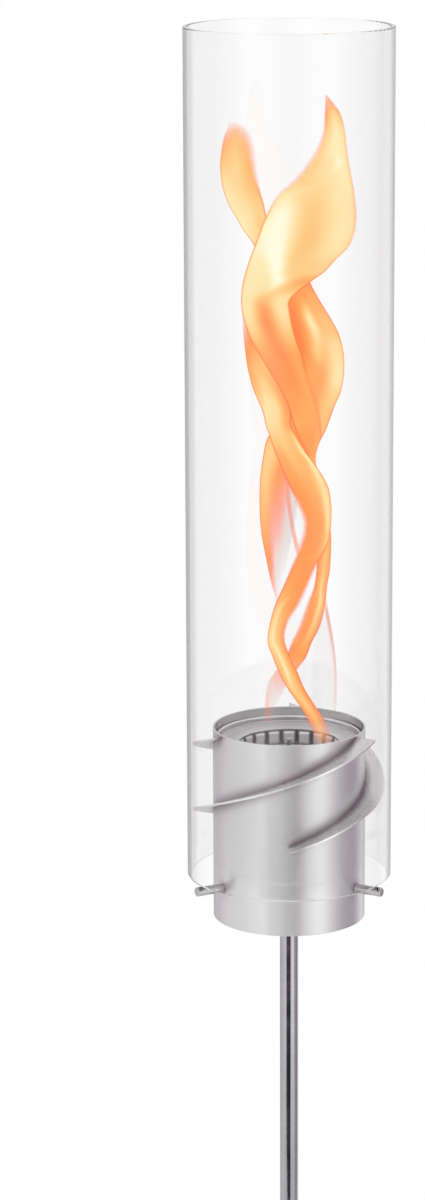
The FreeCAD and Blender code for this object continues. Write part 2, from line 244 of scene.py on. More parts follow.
class SurfaceGraph(NodeGraph):
    """Node graph of one material, read in object coordinates."""

    def __init__(self, name: str) -> None:
        """Make the material and its coordinate and output nodes."""
        self.material = bpy.data.materials.new(name)
        self.material.use_nodes = True
        super().__init__(self.material.node_tree)
        self.output = self.add("ShaderNodeOutputMaterial")
        self.place = self.add("ShaderNodeTexCoord").outputs["Object"]

    def principled(self, **values: Feed) -> None:
        """Add the main shader and join it to the output.

        Args:
            **values: Inputs by name, with underscores for spaces.
        """
        shader = self.add("ShaderNodeBsdfPrincipled")
        for name, value in values.items():
            self.feed(shader.inputs[name.replace("_", " ")], value)
        self.finish(shader.outputs[0])

    def finish(self, shader: bpy.types.NodeSocket) -> None:
        """Join a shader to the material's output."""
        self.tree.links.new(shader, self.output.inputs["Surface"])

    def radius(self) -> bpy.types.NodeSocket:
        """Distance from the torch's axis."""
        x, y, _ = self.separate(self.place)
        square = self.calculate("ADD", self.calculate("MULTIPLY", x, x), self.calculate("MULTIPLY", y, y))
        return self.calculate("SQRT", square)

    def around(self) -> bpy.types.NodeSocket:
        """Level direction round the torch's axis, of length one."""
        cross = self.add("ShaderNodeVectorMath", operation="CROSS_PRODUCT")
        self.feed(cross.inputs[0], (0.0, 0.0, 1.0))
        self.feed(cross.inputs[1], self.place)
        level = self.add("ShaderNodeVectorMath", operation="NORMALIZE")
        self.feed(level.inputs[0], cross.outputs[0])
        return level.outputs[0]


# ---------------------------------------------------------------- finishes


@dataclass(frozen=True)
class BrushedSteel:
    """Stainless steel with fine brush lines round the torch's axis, faint marks and a drawn-out gloss.

    A range gives the values of a noise, or of openness, between which a change runs. Painted shade darkens
    the corners, but not inside the corner radius.
    """

    name: str
    tone: Colour = (0.665, 0.657, 0.663)
    roughness: float = 0.3
    roughness_change: float = 0.03
    spread: float = 0.65
    spread_turn: float = 0.25
    line_pitch: float = 0.22 * MM
    line_length: float = 90 * MM
    line_depth: float = 0.0004 * MM
    line_strength: float = 0.5
    line_share: float = 0.6
    line_range: Pair = (0.3, 0.7)
    band_scale: float = 0.22
    radial_share: float = 1.7
    shade_change: float = 0.014
    mark_scale: float = 55.0
    mark_range: Pair = (0.35, 0.75)
    mark_roughness: Pair = (-0.01, 0.02)
    # Painted shade: the colour that the corners are darkened to.
    painted_shade_tone: Colour = (0.3, 0.24, 0.27)
    corner_reach: float = 8 * MM
    corner_range: Pair = (0.45, 1.0)
    corner_samples: int = 12
    corner_radius: float = 0.0

    def across(self, graph: SurfaceGraph) -> bpy.types.NodeSocket:
        """Distance across the brush lines, upwards and outwards."""
        _, _, z = graph.separate(graph.place)
        return graph.calculate("ADD", z, graph.calculate("MULTIPLY", graph.radius(), self.radial_share))

    def line_coordinates(self, graph: SurfaceGraph) -> bpy.types.NodeSocket:
        """Coordinates that change fast across the brush lines and slowly along them."""
        x, y, _ = graph.separate(graph.place)
        slow = 1 / self.line_length
        return graph.combine(graph.calculate("MULTIPLY", x, slow), graph.calculate("MULTIPLY", y, slow),
                             graph.calculate("MULTIPLY", self.across(graph), 1 / self.line_pitch))

    def tint_and_painted_light(self, graph: SurfaceGraph, colour: bpy.types.NodeSocket) -> bpy.types.NodeSocket:
        """Paint shade into the corners: darken a colour where ambient occlusion finds little open room."""
        corner = graph.add("ShaderNodeAmbientOcclusion", samples=self.corner_samples)
        graph.feed(corner.inputs["Distance"], self.corner_reach)
        open_share = graph.remap(corner.outputs["AO"], *self.corner_range, 0.0, 1.0)
        inside = graph.calculate("LESS_THAN", graph.radius(), self.corner_radius)
        return graph.blend(graph.calculate("MAXIMUM", open_share, inside), self.painted_shade_tone, colour)

    def material(self) -> bpy.types.Material:
        """Build the material."""
        graph = SurfaceGraph(self.name)
        lines = self.line_coordinates(graph)
        fine = graph.noise(lines, 1.0, detail=3.0)
        bands = graph.noise(lines, self.band_scale, detail=1.0)
        streaks = graph.calculate("ADD", graph.calculate("MULTIPLY", fine, self.line_share),
                                  graph.calculate("MULTIPLY", bands, 1 - self.line_share))
        low, high = self.line_range
        darker, lighter = (tuple(min(1.0, channel * share) for channel in self.tone)
                           for share in (1 - self.shade_change, 1 + self.shade_change))
        colour = self.tint_and_painted_light(graph, graph.ramp(streaks, [(low, darker), (high, lighter)]))
        rough = graph.remap(streaks, low, high, self.roughness * (1 - self.roughness_change),
                            self.roughness * (1 + self.roughness_change))
        marks = graph.noise(graph.place, self.mark_scale, detail=4.0)
        rough = graph.calculate("ADD", rough, graph.remap(marks, *self.mark_range, *self.mark_roughness))
        graph.principled(
            Base_Color=colour,
            Metallic=1.0,
            Roughness=rough,
            Anisotropic=self.spread,
            Anisotropic_Rotation=self.spread_turn,
            Tangent=graph.around(),
            Normal=graph.bump(streaks, self.line_depth, self.line_strength),
        )
        return graph.material


@dataclass(frozen=True)
class BrightSteel:
    """Drawn or polished bar: smooth, with faint turning rings and a few dull patches."""

    name: str
    tone: Colour = (0.6, 0.6, 0.61)
    roughness: float = 0.12
    ring_pitch: float = 0.6 * MM
    ring_depth: float = 0.004 * MM
    ring_strength: float = 0.4
    patch_scale: float = 120.0
    patch_tone: float = 0.94
    tone_range: Pair = (0.35, 0.65)
    gloss_range: Pair = (0.3, 0.7)
    gloss_change: Pair = (0.8, 1.3)

    def material(self) -> bpy.types.Material:
        """Build the material."""
        graph = SurfaceGraph(self.name)
        x, y, z = graph.separate(graph.place)
        rings = graph.noise(graph.combine(x, y, graph.calculate("MULTIPLY", z, 1 / self.ring_pitch)), 1.0)
        patches = graph.noise(graph.place, self.patch_scale, detail=3.0)
        darker = tuple(channel * self.patch_tone for channel in self.tone)
        smooth, dull = (self.roughness * share for share in self.gloss_change)
        graph.principled(
            Base_Color=graph.ramp(patches, list(zip(self.tone_range, (darker, self.tone)))),
            Metallic=1.0,
            Roughness=graph.remap(patches, *self.gloss_range, smooth, dull),
            Normal=graph.bump(rings, self.ring_depth, self.ring_strength),
        )
        return graph.material


@dataclass(frozen=True)
class FinSteel(BrushedSteel):
    """Brushed sheet of a fin, with painted shade towards its root and a painted highlight along its outer
    edge.
    """

    root_radius: float = 41 * MM
    fair_radius: float = 46 * MM
    edge_radius: float = 51.4 * MM
    edge_blend: Pair = (-0.3 * MM, 0.1 * MM)
    # Painted highlight along the fin's outer edge.
    edge_highlight_tone: Colour = (0.8, 0.79, 0.795)

    def across(self, graph: SurfaceGraph) -> bpy.types.NodeSocket:
        """Distance across brush lines that follow the fin round the housing."""
        return graph.radius()

    def tint_and_painted_light(self, graph: SurfaceGraph, colour: bpy.types.NodeSocket) -> bpy.types.NodeSocket:
        """Paint shade towards the fin's root and a highlight along its outer edge."""
        radius = graph.radius()
        colour = graph.blend(graph.remap(radius, self.root_radius, self.fair_radius, 0.0, 1.0),
                             self.painted_shade_tone, colour)
        edge = graph.remap(radius, *(self.edge_radius + reach for reach in self.edge_blend), 0.0, 1.0)
        return graph.blend(edge, colour, self.edge_highlight_tone)


@dataclass(frozen=True)
class BurnerSteel(BrushedSteel):
    """Pressed steel near the flame, with clouds of a faint plum heat tint."""

    tint: Colour = (0.6, 0.565, 0.58)
    cloud_scale: float = 38.0
    cloud_range: Pair = (0.4, 0.7)
    cloud_share: float = 0.6

    def tint_and_painted_light(self, graph: SurfaceGraph, colour: bpy.types.NodeSocket) -> bpy.types.NodeSocket:
        """Wash a colour with clouds of heat tint and paint shade into the corners."""
        clouds = graph.noise(graph.place, self.cloud_scale, detail=3.0)
        clouds = graph.remap(clouds, *self.cloud_range, 0.0, self.cloud_share)
        return super().tint_and_painted_light(graph, graph.blend(clouds, colour, self.tint))


@dataclass(frozen=True)
class InsideShadedSteel(BurnerSteel):
    """Steel of the can: bare outside, with painted shade inside, near black.

    The painted shade lies inside a radius, and above the can's foot by more than the foot's reach.
    """

    foot: float = 0.0
    foot_reach: float = 0.5 * MM
    # Painted shade inside the can: where it lies, and its near-black colour.
    inside_shade_radius: float = 38.4 * MM
    inside_shade: Colour = (0.09, 0.08, 0.08)

    def tint_and_painted_light(self, graph: SurfaceGraph, colour: bpy.types.NodeSocket) -> bpy.types.NodeSocket:
        """Paint shade inside the can, near black."""
        _, _, z = graph.separate(graph.place)
        below = graph.calculate("LESS_THAN", z, self.foot + self.foot_reach)
        outside = graph.calculate("GREATER_THAN", graph.radius(), self.inside_shade_radius)
        outside = graph.calculate("MAXIMUM", outside, below)
        return graph.blend(outside, self.inside_shade, super().tint_and_painted_light(graph, colour))


@dataclass(frozen=True)
class SlottedSteel(BurnerSteel):
    """Steel of the collar, with painted shade along the edges of its slots.

    The reaches are measured from a slot's middle, and the first slot's bearing is in degrees.
    """

    slots: int = 20
    first_slot: float = 99.0
    collar_radius: float = 26.8 * MM
    dark_reach: float = 0.8 * MM
    fair_reach: float = 2.1 * MM
    # Painted shade beside the slots.
    slot_shade: Colour = (0.16, 0.14, 0.15)
    middle: float = 0.5

    def tint_and_painted_light(self, graph: SurfaceGraph, colour: bpy.types.NodeSocket) -> bpy.types.NodeSocket:
        """Paint shade beside the slots."""
        x, y, _ = graph.separate(graph.place)
        steps = graph.calculate("MULTIPLY", graph.calculate("ARCTAN2", y, x), self.slots / math.tau)
        steps = graph.calculate("ADD", steps, self.slots * (1 - self.first_slot / 360) + self.middle)
        aside = graph.calculate("SUBTRACT", graph.calculate("FRACT", steps), self.middle)
        aside = graph.calculate("ABSOLUTE", aside)
        step_width = math.tau / self.slots * self.collar_radius
        fair = graph.remap(aside, self.dark_reach / step_width, self.fair_reach / step_width, 0.0, 1.0)
        return graph.blend(fair, self.slot_shade, super().tint_and_painted_light(graph, colour))


@dataclass(frozen=True)
class CeramicFibre:
    """Matted fibre that soaks up the fuel: grey with smoke, and darker and smoother where it is damp."""

    name: str
    dry: Colour = (0.36, 0.34, 0.31)
    damp: Colour = (0.2, 0.18, 0.15)
    damp_scale: float = 45.0
    tone_range: Pair = (0.35, 0.7)
    gloss_range: Pair = (0.3, 0.7)
    roughness: Pair = (0.95, 0.6)
    strand_scale: float = 900.0
    strand_depth: float = 0.4 * MM
    strand_strength: float = 0.8

    def material(self) -> bpy.types.Material:
        """Build the material."""
        graph = SurfaceGraph(self.name)
        strands = graph.noise(graph.place, self.strand_scale, detail=6.0)
        damp = graph.noise(graph.place, self.damp_scale, detail=3.0)
        graph.principled(
            Base_Color=graph.ramp(damp, list(zip(self.tone_range, (self.dry, self.damp)))),
            Roughness=graph.remap(damp, *self.gloss_range, *self.roughness),
            Normal=graph.bump(strands, self.strand_depth, self.strand_strength),
        )
        return graph.material


@dataclass(frozen=True)
class ClearGlass:
    """Clear drawn tube with faint drawing lines along it and frosted, ground ends."""

    name: str
    tone: Colour = (0.984, 0.984, 0.984)
    index: float = 1.47
    line_scale: float = 60.0
    line_stretch: float = 0.05
    line_depth: float = 0.01 * MM
    line_strength: float = 0.3
    ground_depth: float = 0.35 * MM
    ground_share: float = 0.55
    ground_tone: Colour = (0.93, 0.93, 0.93)

    def material(self, foot: float, top: float) -> bpy.types.Material:
        """Build the material, clear to shadow rays so that light reaches the burner.

        Args:
            foot: Height of the tube's lower end, in metres.
            top: Height of its upper end, in metres.

        Returns:
            The material.
        """
        graph = SurfaceGraph(self.name)
        x, y, z = graph.separate(graph.place)
        drawn = graph.combine(x, y, graph.calculate("MULTIPLY", z, self.line_stretch))
        drawn = graph.noise(drawn, self.line_scale, detail=1.0)
        glass = graph.add("ShaderNodeBsdfGlass")
        glass.inputs["Color"].default_value = (*self.tone, 1.0)
        glass.inputs["Roughness"].default_value = 0.0
        glass.inputs["IOR"].default_value = self.index
        graph.feed(glass.inputs["Normal"], graph.bump(drawn, self.line_depth, self.line_strength))
        frost = graph.add("ShaderNodeBsdfDiffuse")
        frost.inputs["Color"].default_value = (*self.ground_tone, 1.0)
        low_end = graph.remap(z, foot, foot + self.ground_depth, self.ground_share, 0.0)
        high_end = graph.remap(z, top - self.ground_depth, top, 0.0, self.ground_share)
        ends = graph.mix(graph.calculate("MAXIMUM", low_end, high_end), glass.outputs[0], frost.outputs[0])
        in_shadow = graph.add("ShaderNodeLightPath").outputs["Is Shadow Ray"]
        graph.finish(graph.mix(in_shadow, ends, graph.add("ShaderNodeBsdfTransparent").outputs[0]))
        return graph.material


@dataclass(frozen=True)
class FlameGlow:
    """Fire that shines by itself: its colour follows the warmth, from smoke over red to cream."""

    name: str
    warmth_stops: tuple[tuple[float, Colour], ...] = (
        (0.0, (0.44, 0.35, 0.34)),
        (0.08, (0.72, 0.29, 0.22)),
        (0.18, (0.93, 0.13, 0.03)),
        (0.28, (1.0, 0.15, 0.015)),
        (0.4, (1.0, 0.235, 0.03)),
        (0.52, (1.0, 0.355, 0.07)),
        (0.64, (1.0, 0.5, 0.14)),
        (0.76, (1.0, 0.64, 0.25)),
        (0.88, (1.0, 0.79, 0.41)),
        (1.0, (1.0, 0.93, 0.7)),
    )
    strength: float = 1.06
    streak_share: float = 0.08
    flow_scale: Pair = (5.0, 9.0)

    def material(self) -> bpy.types.Material:
        """Build the material. Back faces are clear, so that each ribbon is seen once."""
        graph = SurfaceGraph(self.name)
        warmth = graph.add("ShaderNodeAttribute", attribute_name="warmth").outputs["Fac"]
        cover = graph.add("ShaderNodeAttribute", attribute_name="cover").outputs["Fac"]
        flow = graph.separate(graph.add("ShaderNodeUVMap", uv_map="flow").outputs[0])
        flow = [graph.calculate("MULTIPLY", place, scale) for place, scale in zip(flow, self.flow_scale)]
        streaks = graph.calculate("SUBTRACT", graph.noise(graph.combine(*flow, 0.0), 1.0), NOISE_MIDDLE)
        streaks = graph.calculate("MULTIPLY", streaks, self.streak_share)
        warmth = graph.calculate("ADD", warmth, graph.calculate("MULTIPLY", streaks, warmth))
        colour = graph.ramp(warmth, self.warmth_stops)
        front = graph.calculate("SUBTRACT", 1.0, graph.add("ShaderNodeNewGeometry").outputs["Backfacing"])
        graph.principled(
            Base_Color=(0.0, 0.0, 0.0, 1.0),
            Roughness=1.0,
            Specular_IOR_Level=0.0,
            Emission_Color=colour,
            Emission_Strength=self.strength,
            Alpha=graph.calculate("MULTIPLY", cover, front),
        )
        return graph.material


# ---------------------------------------------------------------- CAD pieces and their finishes


class Assembly:
    """A group of CAD pieces that are dressed together."""

    title = "assembly"

    def dress(self) -> None:
        """Give every piece of the group its finish."""
        raise NotImplementedError

    @staticmethod
    def finish_nodes(material: bpy.types.Material, *nodes: str) -> None:
        """Put a material on CAD nodes, in the slots that they came with.

        Args:
            material: What they are finished in.
            *nodes: Names of the CAD nodes.
        """
        for node in nodes:
            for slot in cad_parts[node].material_slots:
                slot.material = material
            log.info("%s: %s", node, material.name)


@dataclass(frozen=True)
class Stake(Assembly):
    """Three screwed lengths of round bar and the studs that join them."""

    title = "stake"
    bar: BrightSteel = BrightSteel("drawn_bar", tone=(0.45, 0.44, 0.455), roughness=0.08)
    fastener: BrightSteel = BrightSteel("fastener_steel", tone=(0.5, 0.5, 0.5), roughness=0.3)

    def dress(self) -> None:
        """Finish the bars and studs."""
        self.finish_nodes(self.bar.material(), "upper_rod", "middle_rod", "ground_spike")
        self.finish_nodes(self.fastener.material(), "head_stud", "upper_joint_stud", "lower_joint_stud",
                          "pin_nuts", "post_nut", "gauze_washer")


@dataclass(frozen=True)
class Housing(Assembly):
    """The steel tube, its base cup and boss, the swirl fins and the pins that carry the glass."""

    title = "housing"
    shell: BrushedSteel = BrushedSteel("brushed_shell", corner_radius=40.6 * MM)
    fin: FinSteel = FinSteel("brushed_fin", roughness=0.27)
    inner: BrushedSteel = BrushedSteel("pressed_cup", tone=(0.5, 0.49, 0.5), roughness=0.34)
    pin: BrightSteel = BrightSteel("polished_pin", tone=(0.5, 0.49, 0.5), roughness=0.12)

    def dress(self) -> None:
        """Finish the housing's pieces."""
        self.finish_nodes(self.shell.material(), "housing_shell")
        self.finish_nodes(self.fin.material(), "swirl_fin_1", "swirl_fin_2", "swirl_fin_3")
        self.finish_nodes(self.inner.material(), "base_cup", "stake_boss")
        self.finish_nodes(self.pin.material(), "rest_pin_1", "rest_pin_2", "rest_pin_3")


@dataclass(frozen=True)
class Chimney(Assembly):
    """The clear glass tube."""

    title = "chimney"
    glass: ClearGlass = ClearGlass("clear_glass")

    def dress(self) -> None:
        """Finish the glass."""
        low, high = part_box("glass_chimney")
        self.finish_nodes(self.glass.material(low.z, high.z), "glass_chimney")


@dataclass(frozen=True)
class Burner(Assembly):
    """The fuel can with its lid, slotted collar and fibre, and the insert that hangs in the collar."""

    title = "burner"
    lid: BurnerSteel = BurnerSteel("burner_lid_steel", tone=(0.65, 0.635, 0.645), tint=(0.59, 0.55, 0.57),
                                   roughness=0.2, corner_reach=1.5 * MM)
    can: InsideShadedSteel = InsideShadedSteel("burner_can_steel")
    collar: SlottedSteel = SlottedSteel("burner_collar_steel", tone=(0.9, 0.885, 0.895), roughness=0.42,
                                        corner_reach=2.5 * MM)
    plate: BurnerSteel = BurnerSteel("burner_plate_steel", tone=(0.14, 0.13, 0.13), tint=(0.08, 0.07, 0.07),
                                     roughness=0.45)
    fibre: CeramicFibre = CeramicFibre("ceramic_fibre")
    post: BrightSteel = BrightSteel("bright_post", tone=(0.5, 0.49, 0.49), roughness=0.16)

    def dress(self) -> None:
        """Finish the burner's pieces."""
        self.finish_nodes(self.lid.material(), "burner_lid")
        can = replace(self.can, foot=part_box("burner_can")[0].z)
        self.finish_nodes(can.material(), "burner_can")
        self.finish_nodes(self.collar.material(), "slotted_collar")
        self.finish_nodes(self.plate.material(), "support_plate")
        self.finish_nodes(self.fibre.material(), "fibre_core")
        self.finish_nodes(self.post.material(), "centre_post")


# ---------------------------------------------------------------- woven gauze


class WireSet(Enum):
    """The two sets of wires in a weave, by the axis that they run along."""

    WARP = "X"
    WEFT = "Y"


@dataclass(frozen=True)
class WovenGauze:
    """Plain-woven wire disc, made by geometry nodes in place of the frame's plain disc."""

    node: str = "wire_gauze"
    body: str = "gauze_insert"
    pitch: float = 1.4 * MM
    wire: float = 0.3 * MM
    hole_room: float = 0.25 * MM
    steps_per_pitch: int = 4
    wire_sides: int = 5
    tie_width: float = 0.01 * MM
    finish: BrightSteel = BrightSteel("gauze_wire", tone=(0.85, 0.84, 0.84), roughness=0.2)

    def tree(self, material: bpy.types.Material) -> bpy.types.NodeTree:
        """Geometry nodes that weave the disc.

        Args:
            material: Finish of the wire.

        Returns:
            The node tree, with an input for each size.
        """
        tree = bpy.data.node_groups.new("woven_gauze", "GeometryNodeTree")
        tree.interface.new_socket("Geometry", in_out="INPUT", socket_type="NodeSocketGeometry")
        for name in ("Radius", "Hole Radius", "Pitch", "Wire", "Level"):
            tree.interface.new_socket(name, in_out="INPUT", socket_type="NodeSocketFloat")
        tree.interface.new_socket("Wires", in_out="INPUT", socket_type="NodeSocketInt")
        tree.interface.new_socket("Geometry", in_out="OUTPUT", socket_type="NodeSocketGeometry")
        graph = NodeGraph(tree)
        sizes = graph.add("NodeGroupInput").outputs
        join = graph.add("GeometryNodeJoinGeometry")
        for wire_set in WireSet:
            tree.links.new(self.wires(graph, sizes, wire_set), join.inputs[0])
        real = graph.add("GeometryNodeRealizeInstances")
        graph.feed(real.inputs[0], join.outputs[0])
        paint = graph.add("GeometryNodeSetMaterial")
        graph.feed(paint.inputs["Geometry"], real.outputs[0])
        paint.inputs["Material"].default_value = material
        graph.feed(graph.add("NodeGroupOutput").inputs[0], paint.outputs[0])
        return tree

    def wires(self, graph: NodeGraph, sizes: bpy.types.NodeOutputs,
              wire_set: WireSet) -> bpy.types.NodeSocket:
        """One set of parallel wires, waved over and under the other set.

        Args:
            graph: The tree's graph.
            sizes: Outputs of its group input.
            wire_set: Which of the two sets.

        Returns:
            The wires' mesh.
        """
        along_x = wire_set is WireSet.WARP
        span = graph.calculate("MULTIPLY", sizes["Wires"], sizes["Pitch"])
        steps = graph.calculate("ADD", graph.calculate("MULTIPLY", sizes["Wires"], self.steps_per_pitch), 1.0)
        rows = graph.calculate("ADD", sizes["Wires"], 1.0)
        grid = graph.add("GeometryNodeMeshGrid")
        for name, value in zip(("Size X", "Size Y", "Vertices X", "Vertices Y"),
                               (span, span, steps, rows) if along_x else (span, span, rows, steps)):
            graph.feed(grid.inputs[name], value)
        ends = graph.add("GeometryNodeInputMeshEdgeVertices")
        apart = graph.add("ShaderNodeVectorMath", operation="SUBTRACT")
        graph.feed(apart.inputs[0], ends.outputs["Position 1"])
        graph.feed(apart.inputs[1], ends.outputs["Position 2"])
        across = graph.calculate("ABSOLUTE", graph.separate(apart.outputs[0])[1 if along_x else 0])
        cross_ties = graph.add("GeometryNodeDeleteGeometry", domain="EDGE", mode="EDGE_FACE")
        graph.feed(cross_ties.inputs["Geometry"], grid.outputs["Mesh"])
        graph.feed(cross_ties.inputs["Selection"], graph.calculate("GREATER_THAN", across, self.tie_width))
        place = graph.add("GeometryNodeInputPosition").outputs[0]
        distance = graph.add("ShaderNodeVectorMath", operation="LENGTH")
        graph.feed(distance.inputs[0], place)
        outside = graph.calculate("GREATER_THAN", distance.outputs["Value"], sizes["Radius"])
        inside = graph.calculate("LESS_THAN", distance.outputs["Value"], sizes["Hole Radius"])
        trim = graph.add("GeometryNodeDeleteGeometry", domain="POINT", mode="ALL")
        graph.feed(trim.inputs["Geometry"], cross_ties.outputs[0])
        graph.feed(trim.inputs["Selection"], graph.calculate("MAXIMUM", outside, inside))
        x, y, _ = graph.separate(place)
        waves = []
        for number in (x, y):
            turn = graph.calculate("DIVIDE", graph.calculate("MULTIPLY", number, math.pi), sizes["Pitch"])
            waves.append(graph.calculate("COSINE", turn))
        sway = graph.calculate("MULTIPLY", sizes["Wire"], 0.5 if along_x else -0.5)
        height = graph.calculate("MULTIPLY", graph.calculate("MULTIPLY", *waves), sway)
        height = graph.calculate("ADD", height, sizes["Level"])
        bend = graph.add("GeometryNodeSetPosition")
        graph.feed(bend.inputs["Geometry"], trim.outputs[0])
        graph.feed(bend.inputs["Offset"], graph.combine(0.0, 0.0, height))
        lines = graph.add("GeometryNodeMeshToCurve")
        graph.feed(lines.inputs["Mesh"], bend.outputs[0])
        section = graph.add("GeometryNodeCurvePrimitiveCircle")
        section.inputs["Resolution"].default_value = self.wire_sides
        graph.feed(section.inputs["Radius"], graph.calculate("MULTIPLY", sizes["Wire"], 0.5))
        tube = graph.add("GeometryNodeCurveToMesh")
        graph.feed(tube.inputs["Curve"], lines.outputs[0])
        graph.feed(tube.inputs["Profile Curve"], section.outputs[0])
        tube.inputs["Fill Caps"].default_value = True
        return tube.outputs[0]

    def build(self) -> bpy.types.Object:
        """Weave the disc where the frame's disc lies.

        Returns:
            The finished piece, riding on its body.
        """
        low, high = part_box(self.node)
        radius = (high.x - low.x) / 2 - self.wire / 2
        post_low, post_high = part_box("centre_post")
        values = {
            "Radius": radius,
            "Hole Radius": (post_high.x - post_low.x) / 2 + self.hole_room,
            "Pitch": self.pitch,
            "Wire": self.wire,
            "Level": (low.z + high.z) / 2,
            "Wires": 2 * math.ceil(radius / self.pitch),
        }
        piece = bpy.data.objects.new("woven_gauze", bpy.data.meshes.new("woven_gauze"))
        bpy.context.scene.collection.objects.link(piece)
        modifier = piece.modifiers.new("weave", "NODES")
        modifier.node_group = self.tree(self.finish.material())
        for item in modifier.node_group.interface.items_tree:
            if item.name in values:
                modifier[item.identifier] = values[item.name]
        graph = bpy.context.evaluated_depsgraph_get()
        piece_mesh = bpy.data.meshes.new_from_object(piece.evaluated_get(graph))
        piece.modifiers.clear()
        piece.data = piece_mesh
        piece_mesh.shade_smooth()
        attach(piece, self.body)
        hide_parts(self.node)
        log.info("woven_gauze: %d faces", len(piece_mesh.polygons))
        return piece


# ---------------------------------------------------------------- flame


@dataclass(frozen=True)
class Station:
    """Cross-section of a flame ribbon. Lengths are in millimetres.

    Height is above the chimney's lower edge. Left and right are the ribbon's edges along X, and
    left_back and right_back their places along Y. Warmth and cover run from 0 to 1 and are given at the
    left, the middle and the right. Soft widens the left and right edges. A streak is a warmth that is
    added, and the share of the width around which it lies.
    """

    height: float
    left: float
    right: float
    left_back: float
    right_back: float
    warmth: Triple
    cover: Triple = (1.0, 1.0, 1.0)
    soft: Pair = (1.0, 1.0)
    streak: Pair = (0.0, 0.5)

    def numbers(self) -> list[float]:
        """All values, in the order of their declaration."""
        edges = (self.height, self.left, self.right, self.left_back, self.right_back)
        return [float(value) for value in (*edges, *self.warmth, *self.cover, *self.soft, *self.streak)]


# Where each group of values stands among a station's numbers.
EDGES = slice(0, 5)
WARMTH = slice(5, 8)
COVER = slice(8, 11)
SOFT = slice(11, 13)
STREAK = slice(13, 15)


def ease(share: np.ndarray) -> np.ndarray:
    """Share kept between 0 and 1, with level ends."""
    share = np.clip(share, 0, 1)
    return share * share * (3 - 2 * share)


def arch(share: np.ndarray) -> np.ndarray:
    """1 in the middle of a width and 0 at both its edges."""
    return 4 * share * (1 - share)


